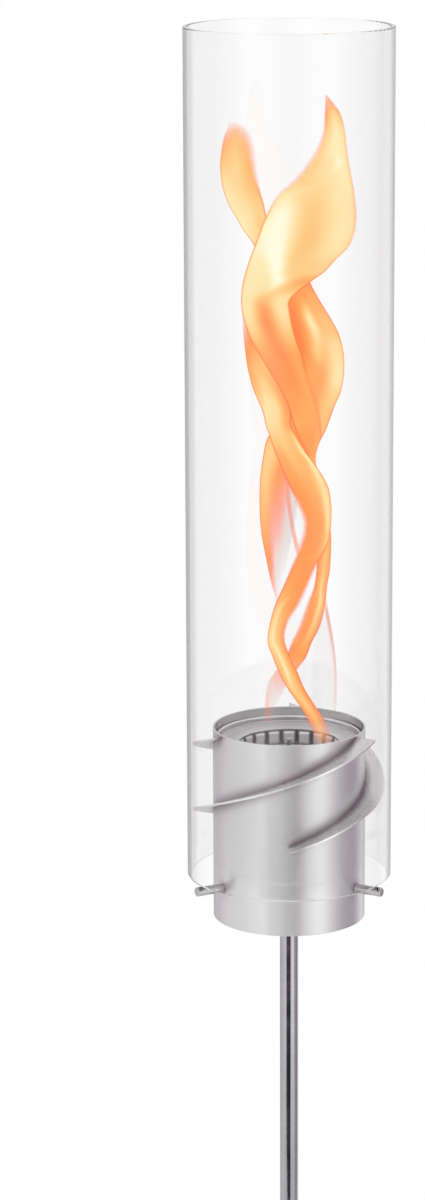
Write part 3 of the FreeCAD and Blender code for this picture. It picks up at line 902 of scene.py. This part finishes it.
@dataclass(frozen=True)
class Ribbon:
    """One tongue of flame: a thin closed sheet that runs smoothly through its stations.

    Edge line, edge fade, row step, flow length, thickness and the bow's reach are in millimetres. The bow is
    a share of the width, and is full where the ribbon lies at the bow's reach from the axis.
    """

    name: str
    stations: tuple[Station, ...]
    edge_line: float = 0.75
    edge_depth: float = 0.8
    edge_fade: float = 0.55
    least_soft: float = 0.5
    side_place: float = 0.14
    streak_width: float = 0.1
    columns: int = 36
    row_step: float = 1.5
    flow_length: float = 100.0
    thickness: float = 0.4
    closing_rows: int = 3
    bow: float = 0.14
    bow_reach: float = 8.0

    def rows(self) -> np.ndarray:
        """Values of smoothly spaced rows between the stations.

        Returns:
            One line of numbers for each row, from a spline through the stations.
        """
        points = np.array([station.numbers() for station in self.stations])
        padded = np.vstack([2 * points[0] - points[1], points, 2 * points[-1] - points[-2]])
        found = []
        for index in range(1, len(padded) - 2):
            before, start, end, after = padded[index - 1:index + 3]
            count = max(2, round(np.linalg.norm((end - start)[:3]) / self.row_step))
            for share in np.arange(count) / count:
                slope_start = (end - before) / 2
                slope_end = (after - start) / 2
                square, cube = share * share, share ** 3
                found.append((2 * cube - 3 * square + 1) * start + (cube - 2 * square + share) * slope_start
                             + (3 * square - 2 * cube) * end + (cube - square) * slope_end)
        found.append(points[-1])
        return np.array(found)

    def spread(self, left: np.ndarray, middle: np.ndarray, right: np.ndarray,
               share: np.ndarray) -> np.ndarray:
        """Carry three values of each row smoothly across the ribbon.

        Args:
            left: Values near the left edge.
            middle: Values in the middle.
            right: Values near the right edge.
            share: Places across, from 0 to 1.

        Returns:
            Values as rows by columns.
        """
        outward = ease(np.abs(share - 0.5) / (0.5 - self.side_place))
        side = np.where(share[None, :] < 0.5, left[:, None], right[:, None])
        return middle[:, None] + (side - middle[:, None]) * outward[None, :]

    def surface(self, rows: np.ndarray, share: np.ndarray) -> tuple[np.ndarray, np.ndarray, np.ndarray]:
        """Middle surface of the ribbon, bowed away from the axis.

        Args:
            rows: Values of every row.
            share: Places across, from 0 to 1.

        Returns:
            Points and normals as rows by columns by three, and each row's width, in millimetres.
        """
        height, left, right, left_back, right_back = rows.T[EDGES]
        start = np.stack([left, left_back, height], axis=-1)
        end = np.stack([right, right_back, height], axis=-1)
        points = start[:, None] + (end - start)[:, None] * share[None, :, None]
        normals = np.cross((end - start)[:, None], np.gradient(points, axis=0))
        normals /= np.maximum(np.linalg.norm(normals, axis=2, keepdims=True), TINY)
        width = np.linalg.norm(end - start, axis=1)
        middle = (start + end) / 2
        outward = (normals[:, self.columns // 2, :2] * middle[:, :2]).sum(1) / self.bow_reach
        swell = self.bow * width * np.clip(outward, -1, 1)
        return points + normals * (swell[:, None] * arch(share))[:, :, None], normals, width

    def glow(self, rows: np.ndarray, share: np.ndarray, width: np.ndarray) -> tuple[np.ndarray, np.ndarray]:
        """Warmth and cover over the ribbon, thinner and cooler towards its edges.

        Args:
            rows: Values of every row.
            share: Places across, from 0 to 1.
            width: Width of every row, in millimetres.

        Returns:
            Warmth and cover as rows by columns.
        """
        warmth = self.spread(*rows.T[WARMTH], share)
        cover = self.spread(*rows.T[COVER], share)
        streak, streak_at = rows.T[STREAK]
        beside = (share[None, :] - streak_at[:, None]) / self.streak_width
        warmth = warmth + streak[:, None] * np.exp(-beside ** 2)
        for soft, inward in zip(rows.T[SOFT], (share, 1 - share)):
            soft = np.maximum(soft, self.least_soft)[:, None]
            edge = inward[None, :] * width[:, None]
            line = np.exp(-(edge / (self.edge_line * np.sqrt(soft))) ** 2)
            warmth = warmth * (1 - self.edge_depth * line)
            cover = cover * ease(edge / (self.edge_fade * soft))
        return np.clip(warmth, 0, 1), np.clip(cover, 0, 1)

    def build(self, material: bpy.types.Material, foot: float, body: str) -> bpy.types.Object:
        """Make the ribbon's closed mesh.

        Args:
            material: The fire's finish.
            foot: Height of the chimney's lower edge, in metres.
            body: The body that it rides on.

        Returns:
            The finished piece.
        """
        rows = self.rows()
        share = (1 - np.cos(np.pi * np.arange(self.columns + 1) / self.columns)) / 2
        points, normals, width = self.surface(rows, share)
        warmth, cover = self.glow(rows, share, width)
        count, across = points.shape[:2]
        even = np.arange(across) / (across - 1)
        from_end = np.minimum(np.arange(count), np.arange(count)[::-1]) / self.closing_rows
        half = self.thickness / 2 * arch(even)[None, :] * np.clip(from_end, 0, 1)[:, None]
        front = points + normals * half[:, :, None]
        back = points - normals * half[:, :, None]
        inner = np.zeros((count, across), bool)
        inner[1:-1, 1:-1] = True
        front_index = np.arange(count * across).reshape(count, across)
        back_index = front_index.copy()
        back_index[inner] = count * across + np.arange(inner.sum())
        places = np.vstack([front.reshape(-1, 3), back[inner]]) * MM + np.array([0, 0, foot])
        faces = []
        for index in (front_index, back_index[:, ::-1]):
            quads = np.stack([index[:-1, :-1], index[:-1, 1:], index[1:, 1:], index[1:, :-1]], axis=-1)
            faces.extend(quads.reshape(-1, 4).tolist())
        mesh = bpy.data.meshes.new(self.name)
        mesh.from_pydata(places.tolist(), [], faces)
        for label, values in (("warmth", warmth), ("cover", cover)):
            data = mesh.attributes.new(label, "FLOAT", "POINT").data
            data.foreach_set("value", np.concatenate([values.ravel(), values[inner]]).astype(np.float32))
        along = np.repeat(np.arange(count) * self.row_step / self.flow_length, across)
        flow = np.stack([np.tile(even, count), along], axis=-1)
        flow = np.vstack([flow, flow.reshape(count, across, 2)[inner]])
        corners = np.zeros(len(mesh.loops), np.int32)
        mesh.loops.foreach_get("vertex_index", corners)
        mesh.uv_layers.new(name="flow").data.foreach_set("uv", flow[corners].ravel().astype(np.float32))
        mesh.shade_smooth()
        mesh.materials.append(material)
        piece = bpy.data.objects.new(self.name, mesh)
        bpy.context.scene.collection.objects.link(piece)
        piece.visible_shadow = False
        piece.visible_diffuse = False
        piece.visible_glossy = False
        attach(piece, body)
        log.info("%s: %d faces", self.name, len(mesh.polygons))
        return piece


@dataclass(frozen=True)
class Flame:
    """The twisting flame that stands on the gauze.

    The stations' heights and their left and right edges were written by a separate conversion script, rounded
    to whole and quarter millimetres. Their other values were chosen.
    """

    body: str = "gauze_insert"
    glow: FlameGlow = FlameGlow("flame_glow")
    ribbons: tuple[Ribbon, ...] = (
        Ribbon("flame_mouth_strand", (
            Station(70, 15.5, 24.75, -3, -5, (0.5, 0.5, 0.45), cover=(0, 0, 0), soft=(1.5, 1.5)),
            Station(78, 13.25, 22.5, -4, -5, (0.5, 0.55, 0.45), cover=(0.4, 0.55, 0.3), soft=(1.5, 1.5)),
            Station(87, 9.75, 19.25, -6, -6, (0.5, 0.6, 0.45), cover=(0.8, 0.9, 0.7), soft=(1.2, 1.5)),
            Station(95, 5.5, 14.5, -8, -8, (0.55, 0.68, 0.5), soft=(1, 1.5)),
            Station(105, -0.75, 8.5, -11, -9, (0.64, 0.68, 0.52), soft=(1, 1.5), streak=(0.1, 0.3)),
            Station(114, -5.5, 4.75, -12, -9, (0.62, 0.68, 0.5), soft=(1, 1.3), streak=(0.2, 0.38)),
            Station(123, -9.25, 0.25, -10, -6, (0.68, 0.68, 0.5), soft=(1, 1.3), streak=(0.18, 0.4)),
            Station(130, -11.75, -1.75, -5, 2, (0.76, 0.66, 0.5), soft=(1, 3.5), streak=(0.14, 0.34)),
            Station(139, -10.5, 0.5, -2, 2, (0.72, 0.6, 0.48), soft=(1, 5), streak=(0.14, 0.3)),
            Station(149, -8, 6.25, -4, -2, (0.62, 0.5, 0.46), soft=(1, 7), streak=(0.12, 0.26)),
            Station(159, -4, 10.5, -7, -6, (0.54, 0.48, 0.46), soft=(1, 7)),
            Station(172, 0.5, 15.25, -11, -7, (0.5, 0.47, 0.46), soft=(3, 5)),
            Station(183, 4, 20.75, -12, -4, (0.46, 0.46, 0.54), soft=(6, 1), streak=(0.1, 0.85)),
            Station(195, 6.25, 22.5, -12, 0, (0.45, 0.48, 0.6), soft=(7, 1), streak=(0.2, 0.8)),
            Station(206, 3.25, 22.25, -14, -4, (0.46, 0.5, 0.65), soft=(6, 0.9), streak=(0.18, 0.82)),
            Station(216, -0.25, 20.25, -15, -9, (0.48, 0.54, 0.68), soft=(2, 0.9), streak=(0.12, 0.84)),
            Station(228, -5, 13.75, -15, -14, (0.52, 0.62, 0.6), soft=(0.9, 0.9), streak=(0.3, 0.93)),
            Station(235, -8, 8.75, -13, -15, (0.56, 0.66, 0.6), soft=(0.9, 0.9), streak=(0.3, 0.93)),
            Station(242, -10.25, 4.75, -12, -16, (0.7, 0.7, 0.62), soft=(0.9, 0.9), streak=(0.16, 0.93)),
            Station(248, -12.5, 1.5, -9, -13, (0.8, 0.76, 0.55), soft=(0.9, 0.9), streak=(0, 0.93)),
            Station(254, -14, 1.5, -6, -8, (0.82, 0.78, 0.5), soft=(0.9, 1), streak=(0, 0.3)),
            Station(260, -16.75, 1, -2, -7, (0.72, 0.76, 0.48), soft=(0.9, 1), streak=(0.08, 0.3)),
            Station(266, -19.5, -1, 2, -7, (0.62, 0.7, 0.5), soft=(0.9, 1), streak=(0.06, 0.35)),
            Station(272, -21.25, -4.75, 5, -6, (0.56, 0.68, 0.55)),
            Station(278, -22.5, -9, 8, -6, (0.5, 0.6, 0.62)),
            Station(284, -23.25, -11, 9, -4, (0.45, 0.53, 0.58), soft=(1.3, 1)),
            Station(290, -24, -13.25, 10, -2, (0.4, 0.46, 0.52), cover=(0.8, 1, 1), soft=(1.6, 1)),
            Station(297, -24.5, -16.25, 10, 0, (0.3, 0.42, 0.48), cover=(0.5, 0.8, 1), soft=(2, 1)),
            Station(303, -24.75, -19.5, 10, 4, (0.2, 0.3, 0.4), cover=(0.3, 0.4, 0.5), soft=(2, 1)),
            Station(309, -24.75, -22, 10, 6, (0.2, 0.3, 0.4), cover=(0, 0, 0), soft=(2, 1)),
        )),
        Ribbon("flame_tall_tongue", (
            Station(420, 18.5, 19.25, 0, 0, (0.4, 0.4, 0.4), cover=(0.4, 0.5, 0.3)),
            Station(415, 18, 23.25, -2, 2, (0.5, 0.5, 0.45), cover=(0.8, 0.9, 0.7), soft=(2, 2.5)),
            Station(409, 17.75, 27.25, -3, 3, (0.6, 0.74, 0.62), soft=(2.2, 3.5)),
            Station(401, 16.75, 29.25, -5, 5, (0.72, 0.87, 0.8), soft=(4, 4)),
            Station(392, 12.75, 30.5, -5, 6, (0.72, 0.88, 0.86), soft=(7, 4)),
            Station(385, 8, 31.5, -6, 7, (0.72, 0.82, 0.87), soft=(8, 4), streak=(0.1, 0.68)),
            Station(377, 1.75, 33, -7, 8, (0.75, 0.78, 0.88), soft=(8, 4)),
            Station(370, -6, 34.5, -8, 9, (0.8, 0.75, 0.87), soft=(7.5, 4), streak=(0.05, 0.17)),
            Station(363, -10.25, 35.5, -9, 9, (0.86, 0.71, 0.86), soft=(4, 4.5), streak=(0.1, 0.17)),
            Station(355, -13.5, 36, -10, 8, (0.94, 0.68, 0.85), soft=(1.3, 4.5), streak=(0.1, 0.2)),
            Station(348, -16, 35.25, -10, 7, (0.95, 0.67, 0.85), soft=(0.9, 4.5), streak=(0.1, 0.22)),
            Station(340, -19, 32, -9, 6, (0.92, 0.69, 0.83), soft=(0.8, 4), streak=(0.15, 0.25)),
            Station(333, -21.5, 25, -8, 5, (0.87, 0.7, 0.74), soft=(0.8, 3), streak=(0.26, 0.33)),
            Station(327, -23.25, 18.75, -6, 2, (0.86, 0.73, 0.7), soft=(0.8, 1.2), streak=(0.26, 0.4)),
            Station(322, -24.5, 11, -5, -2, (0.86, 0.82, 0.56), soft=(0.8, 1.1), streak=(0.15, 0.52)),
            Station(314, -25.25, 1, -3, -8, (0.86, 0.62, 0.8), soft=(0.8, 1)),
            Station(307, -24.75, 1, -4, -10, (0.84, 0.45, 0.82), soft=(0.8, 1)),
            Station(300, -22.75, 2.25, -7, -11, (0.78, 0.4, 0.74), soft=(0.8, 1)),
            Station(292, -19.5, 4.75, -10, -12, (0.62, 0.42, 0.62), soft=(0.8, 1.3)),
            Station(285, -15.25, 7.75, -12, -13, (0.5, 0.41, 0.53), soft=(0.8, 2.5)),
            Station(276, -10, 10.5, -13, -11, (0.44, 0.44, 0.54), soft=(0.8, 6)),
            Station(267, -4.75, 13, -13, -7, (0.47, 0.48, 0.56), soft=(0.9, 8)),
            Station(258, -0.75, 15.75, -11, -3, (0.5, 0.54, 0.54), soft=(1, 8)),
            Station(249, 1.5, 17.25, -8, 2, (0.54, 0.52, 0.5), soft=(1, 6)),
            Station(239, 5.25, 17, -4, 6, (0.48, 0.47, 0.55), soft=(1, 2)),
            Station(232, 8.5, 15, 0, 8, (0.47, 0.5, 0.55)),
            Station(224, 10.5, 14.25, 2, 8, (0.5, 0.55, 0.5)),
            Station(213, 12.25, 17.5, 2, 8, (0.5, 0.6, 0.5)),
            Station(188, 14.75, 22.25, 2, 9, (0.5, 0.6, 0.52)),
            Station(168, 14.25, 22.25, 5, 11, (0.48, 0.62, 0.5), soft=(1.5, 1)),
            Station(157, 12.75, 20.75, 7, 12, (0.46, 0.6, 0.52), soft=(2.5, 1), streak=(0.16, 0.55)),
            Station(149, 9.25, 20, 7, 13, (0.46, 0.52, 0.54), soft=(6, 1), streak=(0.26, 0.72)),
            Station(142, 6.75, 19, 8, 13, (0.45, 0.48, 0.54),
                     cover=(0.9, 1, 1), soft=(7, 1), streak=(0.24, 0.72)),
            Station(133, 3.75, 16.75, 10, 14, (0.44, 0.47, 0.52),
                     cover=(0.9, 1, 1), soft=(7, 1), streak=(0.18, 0.72)),
            Station(124, 0, 12.5, 12, 15, (0.44, 0.47, 0.52),
                     cover=(0.9, 1, 1), soft=(5, 1.2), streak=(0.08, 0.7)),
            Station(116, -2.25, 9.5, 14, 15, (0.44, 0.46, 0.5), soft=(2, 1.5)),
            Station(110, -6.5, 5.25, 15, 15, (0.42, 0.44, 0.44), cover=(0.7, 0.8, 0.8), soft=(2, 2)),
            Station(102, -11.75, 0, 16, 14, (0.12, 0.2, 0.2), cover=(0.42, 0.45, 0.45), soft=(2, 2.5)),
            Station(93, -13.25, -4.5, 16, 14, (0.2, 0.06, 0.04), cover=(0.42, 0.3, 0.2), soft=(1.4, 3)),
            Station(87, -13.5, -7, 17, 15, (0.22, 0.06, 0.02), cover=(0.42, 0.26, 0.1), soft=(1.2, 3)),
            Station(79, -13.25, -9, 18, 16, (0.25, 0.3, 0.3), cover=(0.1, 0.1, 0), soft=(1, 2)),
        )),
        Ribbon("flame_left_tongue", (
            Station(406, -31.25, -26.5, 6, 6, (0.5, 0.5, 0.5), cover=(0, 0, 0), soft=(2.5, 4)),
            Station(401, -33.25, -20.25, 0, 8, (0.5, 0.54, 0.48), cover=(0.6, 0.75, 0.4), soft=(4, 8)),
            Station(394, -35, -17.75, -2, 10, (0.54, 0.66, 0.52), cover=(0.9, 1, 0.8), soft=(3, 9)),
            Station(384, -36, -16.25, -3, 11, (0.68, 0.74, 0.58), soft=(2, 9)),
            Station(377, -35.5, -15.75, -3, 12, (0.78, 0.76, 0.6), soft=(1.5, 7)),
            Station(370, -34.25, -14.75, -2, 13, (0.84, 0.78, 0.62), soft=(1.1, 4)),
            Station(362, -31.25, -13.25, 0, 14, (0.86, 0.8, 0.68), soft=(0.8, 1.1)),
            Station(355, -27.5, -11.75, 3, 14, (0.88, 0.82, 0.7), soft=(0.8, 0.9)),
            Station(348, -23.75, -10, 6, 15, (0.88, 0.78, 0.6), soft=(0.8, 0.9)),
            Station(342, -19.75, -7, 9, 15, (0.8, 0.7, 0.6), soft=(0.8, 1)),
            Station(334, -15.75, -2.75, 12, 15, (0.6, 0.6, 0.6)),
            Station(324, -11, 0.5, 14, 15, (0.6, 0.6, 0.6), cover=(0, 0, 0)),
        )),
        Ribbon("flame_right_lobe", (
            Station(331, 1.5, 10, 12, 10, (0.5, 0.5, 0.5), cover=(0, 0, 0)),
            Station(325, -0.5, 10.5, 12, 9, (0.5, 0.5, 0.5)),
            Station(320, -2.25, 11.75, 12, 8, (0.5, 0.5, 0.48), soft=(1, 1.3)),
            Station(313, -2.75, 15.5, 11, 6, (0.44, 0.5, 0.55), soft=(1, 1.1)),
            Station(307, -2.75, 19.25, 10, 4, (0.38, 0.58, 0.56), streak=(0.12, 0.5)),
            Station(301, -2.75, 23, 9, 2, (0.36, 0.58, 0.62), streak=(0.32, 0.5)),
            Station(295, -2.25, 26.25, 9, 0, (0.34, 0.6, 0.64), streak=(0.25, 0.52)),
            Station(289, -1, 28, 9, -2, (0.34, 0.6, 0.76), soft=(1, 0.9), streak=(0.14, 0.5)),
            Station(283, 0.5, 29, 8, -4, (0.38, 0.57, 0.8), soft=(1, 0.9), streak=(0.1, 0.45)),
            Station(276, 1.5, 29, 8, -5, (0.46, 0.54, 0.84), soft=(1, 0.9)),
            Station(270, 1.5, 28.5, 9, -4, (0.54, 0.5, 0.84), soft=(1, 0.9)),
            Station(263, 0.5, 27, 10, -2, (0.53, 0.5, 0.74), soft=(1, 0.9)),
            Station(256, -1, 24.25, 12, 1, (0.52, 0.5, 0.66), soft=(1, 0.9)),
            Station(249, -4.75, 22.25, 13, 6, (0.54, 0.5, 0.62), soft=(1, 0.9)),
            Station(241, -9.5, 19.5, 13, 9, (0.54, 0.48, 0.62), soft=(1, 0.9)),
            Station(235, -12.5, 16.75, 12, 12, (0.66, 0.47, 0.6), soft=(0.9, 1)),
            Station(228, -14, 14.25, 9, 13, (0.7, 0.46, 0.55), soft=(0.9, 1)),
            Station(220, -15.25, 9.5, 5, 13, (0.68, 0.44, 0.46), cover=(1, 1, 0.8), soft=(0.9, 3)),
            Station(212, -15.75, 6.75, 1, 12, (0.66, 0.42, 0.16), cover=(1, 0.95, 0.45), soft=(0.9, 4)),
            Station(200, -15.75, 5.25, -3, 11, (0.6, 0.32, 0.04), cover=(1, 0.8, 0.4), soft=(0.9, 4)),
            Station(188, -14.75, 3.25, -5, 9, (0.53, 0.2, 0), cover=(1, 0.62, 0.35), soft=(0.9, 4)),
            Station(176, -12.5, 0.5, -6, 5, (0.44, 0.1, 0), cover=(1, 0.42, 0.22), soft=(0.9, 4)),
            Station(164, -10.25, -2.25, -5, 2, (0.3, 0.05, 0), cover=(0.75, 0.3, 0.1), soft=(1, 4)),
            Station(153, -7.5, -4.25, -3, 0, (0.3, 0.2, 0.2), cover=(0.35, 0.1, 0), soft=(1, 2)),
            Station(147, -6.25, -4.25, -3, 0, (0.3, 0.2, 0.2), cover=(0, 0, 0), soft=(1, 2)),
        )),
        Ribbon("flame_thin_strand", (
            Station(228, -3.75, -1, 2, 2, (0.4, 0.4, 0.4), cover=(0, 0, 0), soft=(2, 2)),
            Station(217, -2.5, 0.75, 2, 2, (0.38, 0.4, 0.38), cover=(0.4, 0.5, 0.4), soft=(2, 2)),
            Station(204, -1.75, 1.5, 2, 2, (0.36, 0.38, 0.36), cover=(0.5, 0.6, 0.4), soft=(2, 2)),
            Station(192, 0, 3.25, 2, 2, (0.36, 0.38, 0.36), cover=(0.5, 0.6, 0.4), soft=(2, 2)),
            Station(181, 2.25, 5.75, 0, 0, (0.36, 0.38, 0.36), cover=(0.5, 0.6, 0.4), soft=(2, 2)),
            Station(172, 4.75, 8.5, -2, -2, (0.4, 0.4, 0.4), cover=(0, 0, 0), soft=(2, 2)),
        )),
        Ribbon("flame_side_veil", (
            Station(151, 15.5, 19.75, 4, 8, (0, 0, 0), cover=(0, 0, 0), soft=(2, 2)),
            Station(139, 12.75, 22, 2, 8, (0, 0, 0), cover=(0.14, 0.18, 0.22), soft=(4, 1.5)),
            Station(120, 10.75, 25, 1, 7, (0, 0, 0), cover=(0.12, 0.15, 0.18), soft=(6, 1.5)),
            Station(95, 10.25, 25.75, 0, 5, (0, 0, 0), cover=(0.1, 0.12, 0.15), soft=(6, 1.5)),
            Station(87, 12.25, 24.75, 0, 4, (0, 0, 0), cover=(0, 0, 0), soft=(4, 1.5)),
        )),
        Ribbon("flame_veil_edge", (
            Station(152, 18, 20.25, 8, 8, (0.4, 0.4, 0.3), cover=(0, 0, 0)),
            Station(143, 18.5, 21.5, 8, 8, (0.3, 0.36, 0.3), cover=(0.3, 0.7, 0.6), soft=(3, 1.2)),
            Station(132, 20.5, 23.5, 8, 8, (0.25, 0.34, 0.28), cover=(0.2, 0.62, 0.6), soft=(3, 1.2)),
            Station(119, 22.5, 25.25, 7, 7, (0.2, 0.3, 0.26), cover=(0.15, 0.5, 0.5), soft=(3, 1.2)),
            Station(107, 23.5, 26, 6, 6, (0.2, 0.28, 0.24), cover=(0.1, 0.4, 0.4), soft=(3, 1.2)),
            Station(95, 23.25, 26, 5, 5, (0.15, 0.25, 0.2), cover=(0.06, 0.25, 0.25), soft=(3, 1.2)),
            Station(86, 22.5, 25.25, 4, 4, (0.15, 0.2, 0.2), cover=(0, 0, 0), soft=(3, 1.2)),
        )),
    )

    def build(self) -> None:
        """Make every ribbon."""
        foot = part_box("glass_chimney")[0].z
        material = self.glow.material()
        for ribbon in self.ribbons:
            ribbon.build(material, foot, self.body)


# ---------------------------------------------------------------- studio


@dataclass(frozen=True)
class Surroundings:
    """The pale studio that the steel mirrors, as brightness by compass direction.

    Bearings are in degrees from the viewer's side, positive to the viewer's right. The ring goes from bearing
    to brightness, where 1 is white. The gap is a dark patch low in front, and its top and the level where it
    is full are degrees above the horizon, as are the levels where the overhead light starts and is full.
    """

    ring: tuple[tuple[float, float], ...] = (
        (-180, 0.55), (-151, 0.55), (-148, 0.85), (-138, 0.6), (-127, 0.8), (-106, 0.95), (-75, 1.0),
        (-50, 1.14), (-38, 1.26), (-27, 1.45), (-16, 1.45), (-6, 1.15), (6, 0.9), (17, 0.88), (28, 1.05),
        (40, 1.47), (52, 1.47), (64, 0.97), (77, 0.72), (92, 0.52), (112, 0.45), (124, 0.6), (136, 0.95),
        (148, 1.0), (151, 0.7), (180, 0.65),
    )
    overhead: float = 1.0
    overhead_from: float = 5.0
    overhead_full: float = 32.0
    gap_bearing: float = -8.0
    gap_core: float = 22.0
    gap_reach: float = 31.0
    gap_top: float = -15.5
    gap_full: float = -18.5
    gap_share: float = 0.96
    shade_tint: Colour = (1.0, 0.72, 0.93)
    tinted_reach: float = 145.0
    headroom: float = 2.0

    def shade(self, brightness: float, bearing: float = 180.0) -> Colour:
        """Colour of one brightness, over the headroom, plum-tinted where it is dark and not behind."""
        plain = 1.0 if abs(bearing) > self.tinted_reach else min(brightness, 1.0)
        return tuple(brightness * (tint + (1 - tint) * plain) / self.headroom for tint in self.shade_tint)

    def build(self) -> None:
        """Light the world. The eye sees plain white behind the torch."""
        world = bpy.data.worlds.new("studio")
        world.use_nodes = True
        bpy.context.scene.world = world
        graph = NodeGraph(world.node_tree)
        x, y, z = graph.separate(graph.add("ShaderNodeTexCoord").outputs["Generated"])
        bearing = graph.calculate("ARCTAN2", x, graph.calculate("MULTIPLY", y, -1.0))
        place = graph.calculate("ADD", graph.calculate("DIVIDE", bearing, math.tau), 0.5)
        ring = graph.ramp(place, [((degrees + 180) / 360, self.shade(light, degrees))
                                  for degrees, light in self.ring])
        aside = graph.calculate("SUBTRACT", bearing, math.radians(self.gap_bearing))
        gap = graph.remap(graph.calculate("ABSOLUTE", aside), math.radians(self.gap_core),
                          math.radians(self.gap_reach), self.gap_share, 0.0)
        low = graph.remap(z, math.sin(math.radians(self.gap_full)),
                          math.sin(math.radians(self.gap_top)), 1.0, 0.0)
        ring = graph.blend(graph.calculate("MULTIPLY", gap, low), ring, (0.0, 0.0, 0.0))
        over = graph.remap(z, math.sin(math.radians(self.overhead_from)),
                           math.sin(math.radians(self.overhead_full)), 0.0, 1.0)
        surroundings = graph.blend(over, ring, self.shade(self.overhead))
        studio = graph.add("ShaderNodeBackground")
        graph.feed(studio.inputs["Color"], surroundings)
        graph.feed(studio.inputs["Strength"], self.headroom)
        white = graph.add("ShaderNodeBackground")
        graph.feed(white.inputs["Color"], (1.0, 1.0, 1.0, 1.0))
        seen = graph.mix(graph.seen_plainly(), studio.outputs[0], white.outputs[0])
        graph.feed(graph.add("ShaderNodeOutputWorld").inputs["Surface"], seen)


@dataclass(frozen=True)
class SoftBox:
    """A tall soft light beside the torch, with its bearing in degrees and its power in watts."""

    name: str
    bearing: float
    width: float
    power: float
    distance: float = 1.8
    height: float = 2.2
    level: float = 0.7

    def build(self) -> None:
        """Place the light and point it at the torch's axis."""
        lamp = bpy.data.lights.new(self.name, "AREA")
        lamp.shape = "RECTANGLE"
        lamp.size = self.width
        lamp.size_y = self.height
        lamp.energy = self.power
        light = bpy.data.objects.new(self.name, lamp)
        bpy.context.scene.collection.objects.link(light)
        angle = math.radians(self.bearing)
        away = Vector((math.sin(angle), -math.cos(angle), 0.0))
        light.location = away * self.distance + Vector((0.0, 0.0, self.level))
        light.rotation_mode = "QUATERNION"
        light.rotation_quaternion = away.to_track_quat("Z", "Y")
        light.visible_camera = False
        light.visible_transmission = False
        light.visible_glossy = False


@dataclass(frozen=True)
class Floor:
    """Plain pale floor at the spike's tip, which keeps the torch's shadow near the axis."""

    half_width: float = 2.0
    drop: float = 2 * MM
    tone: Colour = (0.84, 0.84, 0.84)
    worn_share: float = 0.98
    worn_scale: float = 3.0
    worn_range: Pair = (0.3, 0.7)
    shadow_reach: Pair = (0.4, 1.6)
    white_share: float = 0.6

    def build(self) -> None:
        """Make the floor."""
        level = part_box("ground_spike")[0].z - self.drop
        corners = [(x * self.half_width, y * self.half_width, level)
                   for x, y in ((-1, -1), (1, -1), (1, 1), (-1, 1))]
        mesh = bpy.data.meshes.new("floor")
        mesh.from_pydata(corners, [], [(0, 1, 2, 3)])
        graph = SurfaceGraph("pale_floor")
        cloud = graph.noise(graph.place, self.worn_scale, detail=3.0)
        worn = tuple(channel * self.worn_share for channel in self.tone)
        matt = graph.add("ShaderNodeBsdfDiffuse")
        graph.feed(matt.inputs["Color"], graph.ramp(cloud, list(zip(self.worn_range, (worn, self.tone)))))
        share = graph.remap(graph.radius(), *self.shadow_reach, self.white_share, 1.0)
        share = graph.calculate("MULTIPLY", share, graph.seen_plainly())
        graph.finish(graph.mix(share, matt.outputs[0], graph.add("ShaderNodeEmission").outputs[0]))
        mesh.materials.append(graph.material)
        floor = bpy.data.objects.new("floor", mesh)
        bpy.context.scene.collection.objects.link(floor)


@dataclass(frozen=True)
class ViewPoint:
    """Camera in front of the torch, above the housing and looking down at it.

    Distance and height are in metres, tilt and turn in degrees, and lens and sensor in millimetres.
    """

    distance: float = 1.9506
    height: float = 0.6092
    tilt: float = 13.214
    turn: float = 1.168
    lens: float = 112.68
    sensor: float = 36.0

    def build(self) -> None:
        """Place the camera. Its height is above the chimney's lower edge."""
        data = bpy.data.cameras.new("camera")
        data.sensor_width = self.sensor
        data.lens = self.lens
        camera = bpy.data.objects.new("camera", data)
        bpy.context.scene.collection.objects.link(camera)
        camera.location = (0.0, -self.distance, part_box("glass_chimney")[0].z + self.height)
        pitch = Matrix.Rotation(math.radians(90 - self.tilt), 3, "X")
        swing = Matrix.Rotation(math.radians(self.turn), 3, "Y")
        camera.rotation_mode = "QUATERNION"
        camera.rotation_quaternion = (pitch @ swing).to_quaternion()
        bpy.context.scene.camera = camera


@dataclass(frozen=True)
class Studio:
    """Floor, lights, surroundings and camera."""

    clear_bounces: int = 32
    surroundings: Surroundings = Surroundings()
    floor: Floor = Floor()
    view_point: ViewPoint = ViewPoint()
    soft_boxes: tuple[SoftBox, ...] = (
        SoftBox("soft_box_left", bearing=-48.0, width=0.8, power=12.0),
        SoftBox("soft_box_right", bearing=47.0, width=0.3, power=6.0),
    )

    def build(self) -> None:
        """Set up the studio."""
        self.surroundings.build()
        self.floor.build()
        for soft_box in self.soft_boxes:
            soft_box.build()
        self.view_point.build()
        scene = bpy.context.scene
        scene.view_settings.view_transform = "Standard"
        scene.cycles.transparent_max_bounces = self.clear_bounces


def main() -> None:
    """Dress the frame's pieces, add the gauze and the flame, and set up the studio."""
    logging.basicConfig(level=logging.INFO, format="%(message)s")
    for assembly in (Stake(), Housing(), Chimney(), Burner()):
        log.info("dressing the %s", assembly.title)
        assembly.dress()
    WovenGauze().build()
    Flame().build()
    Studio().build()


if __name__ == "__main__":
    main()
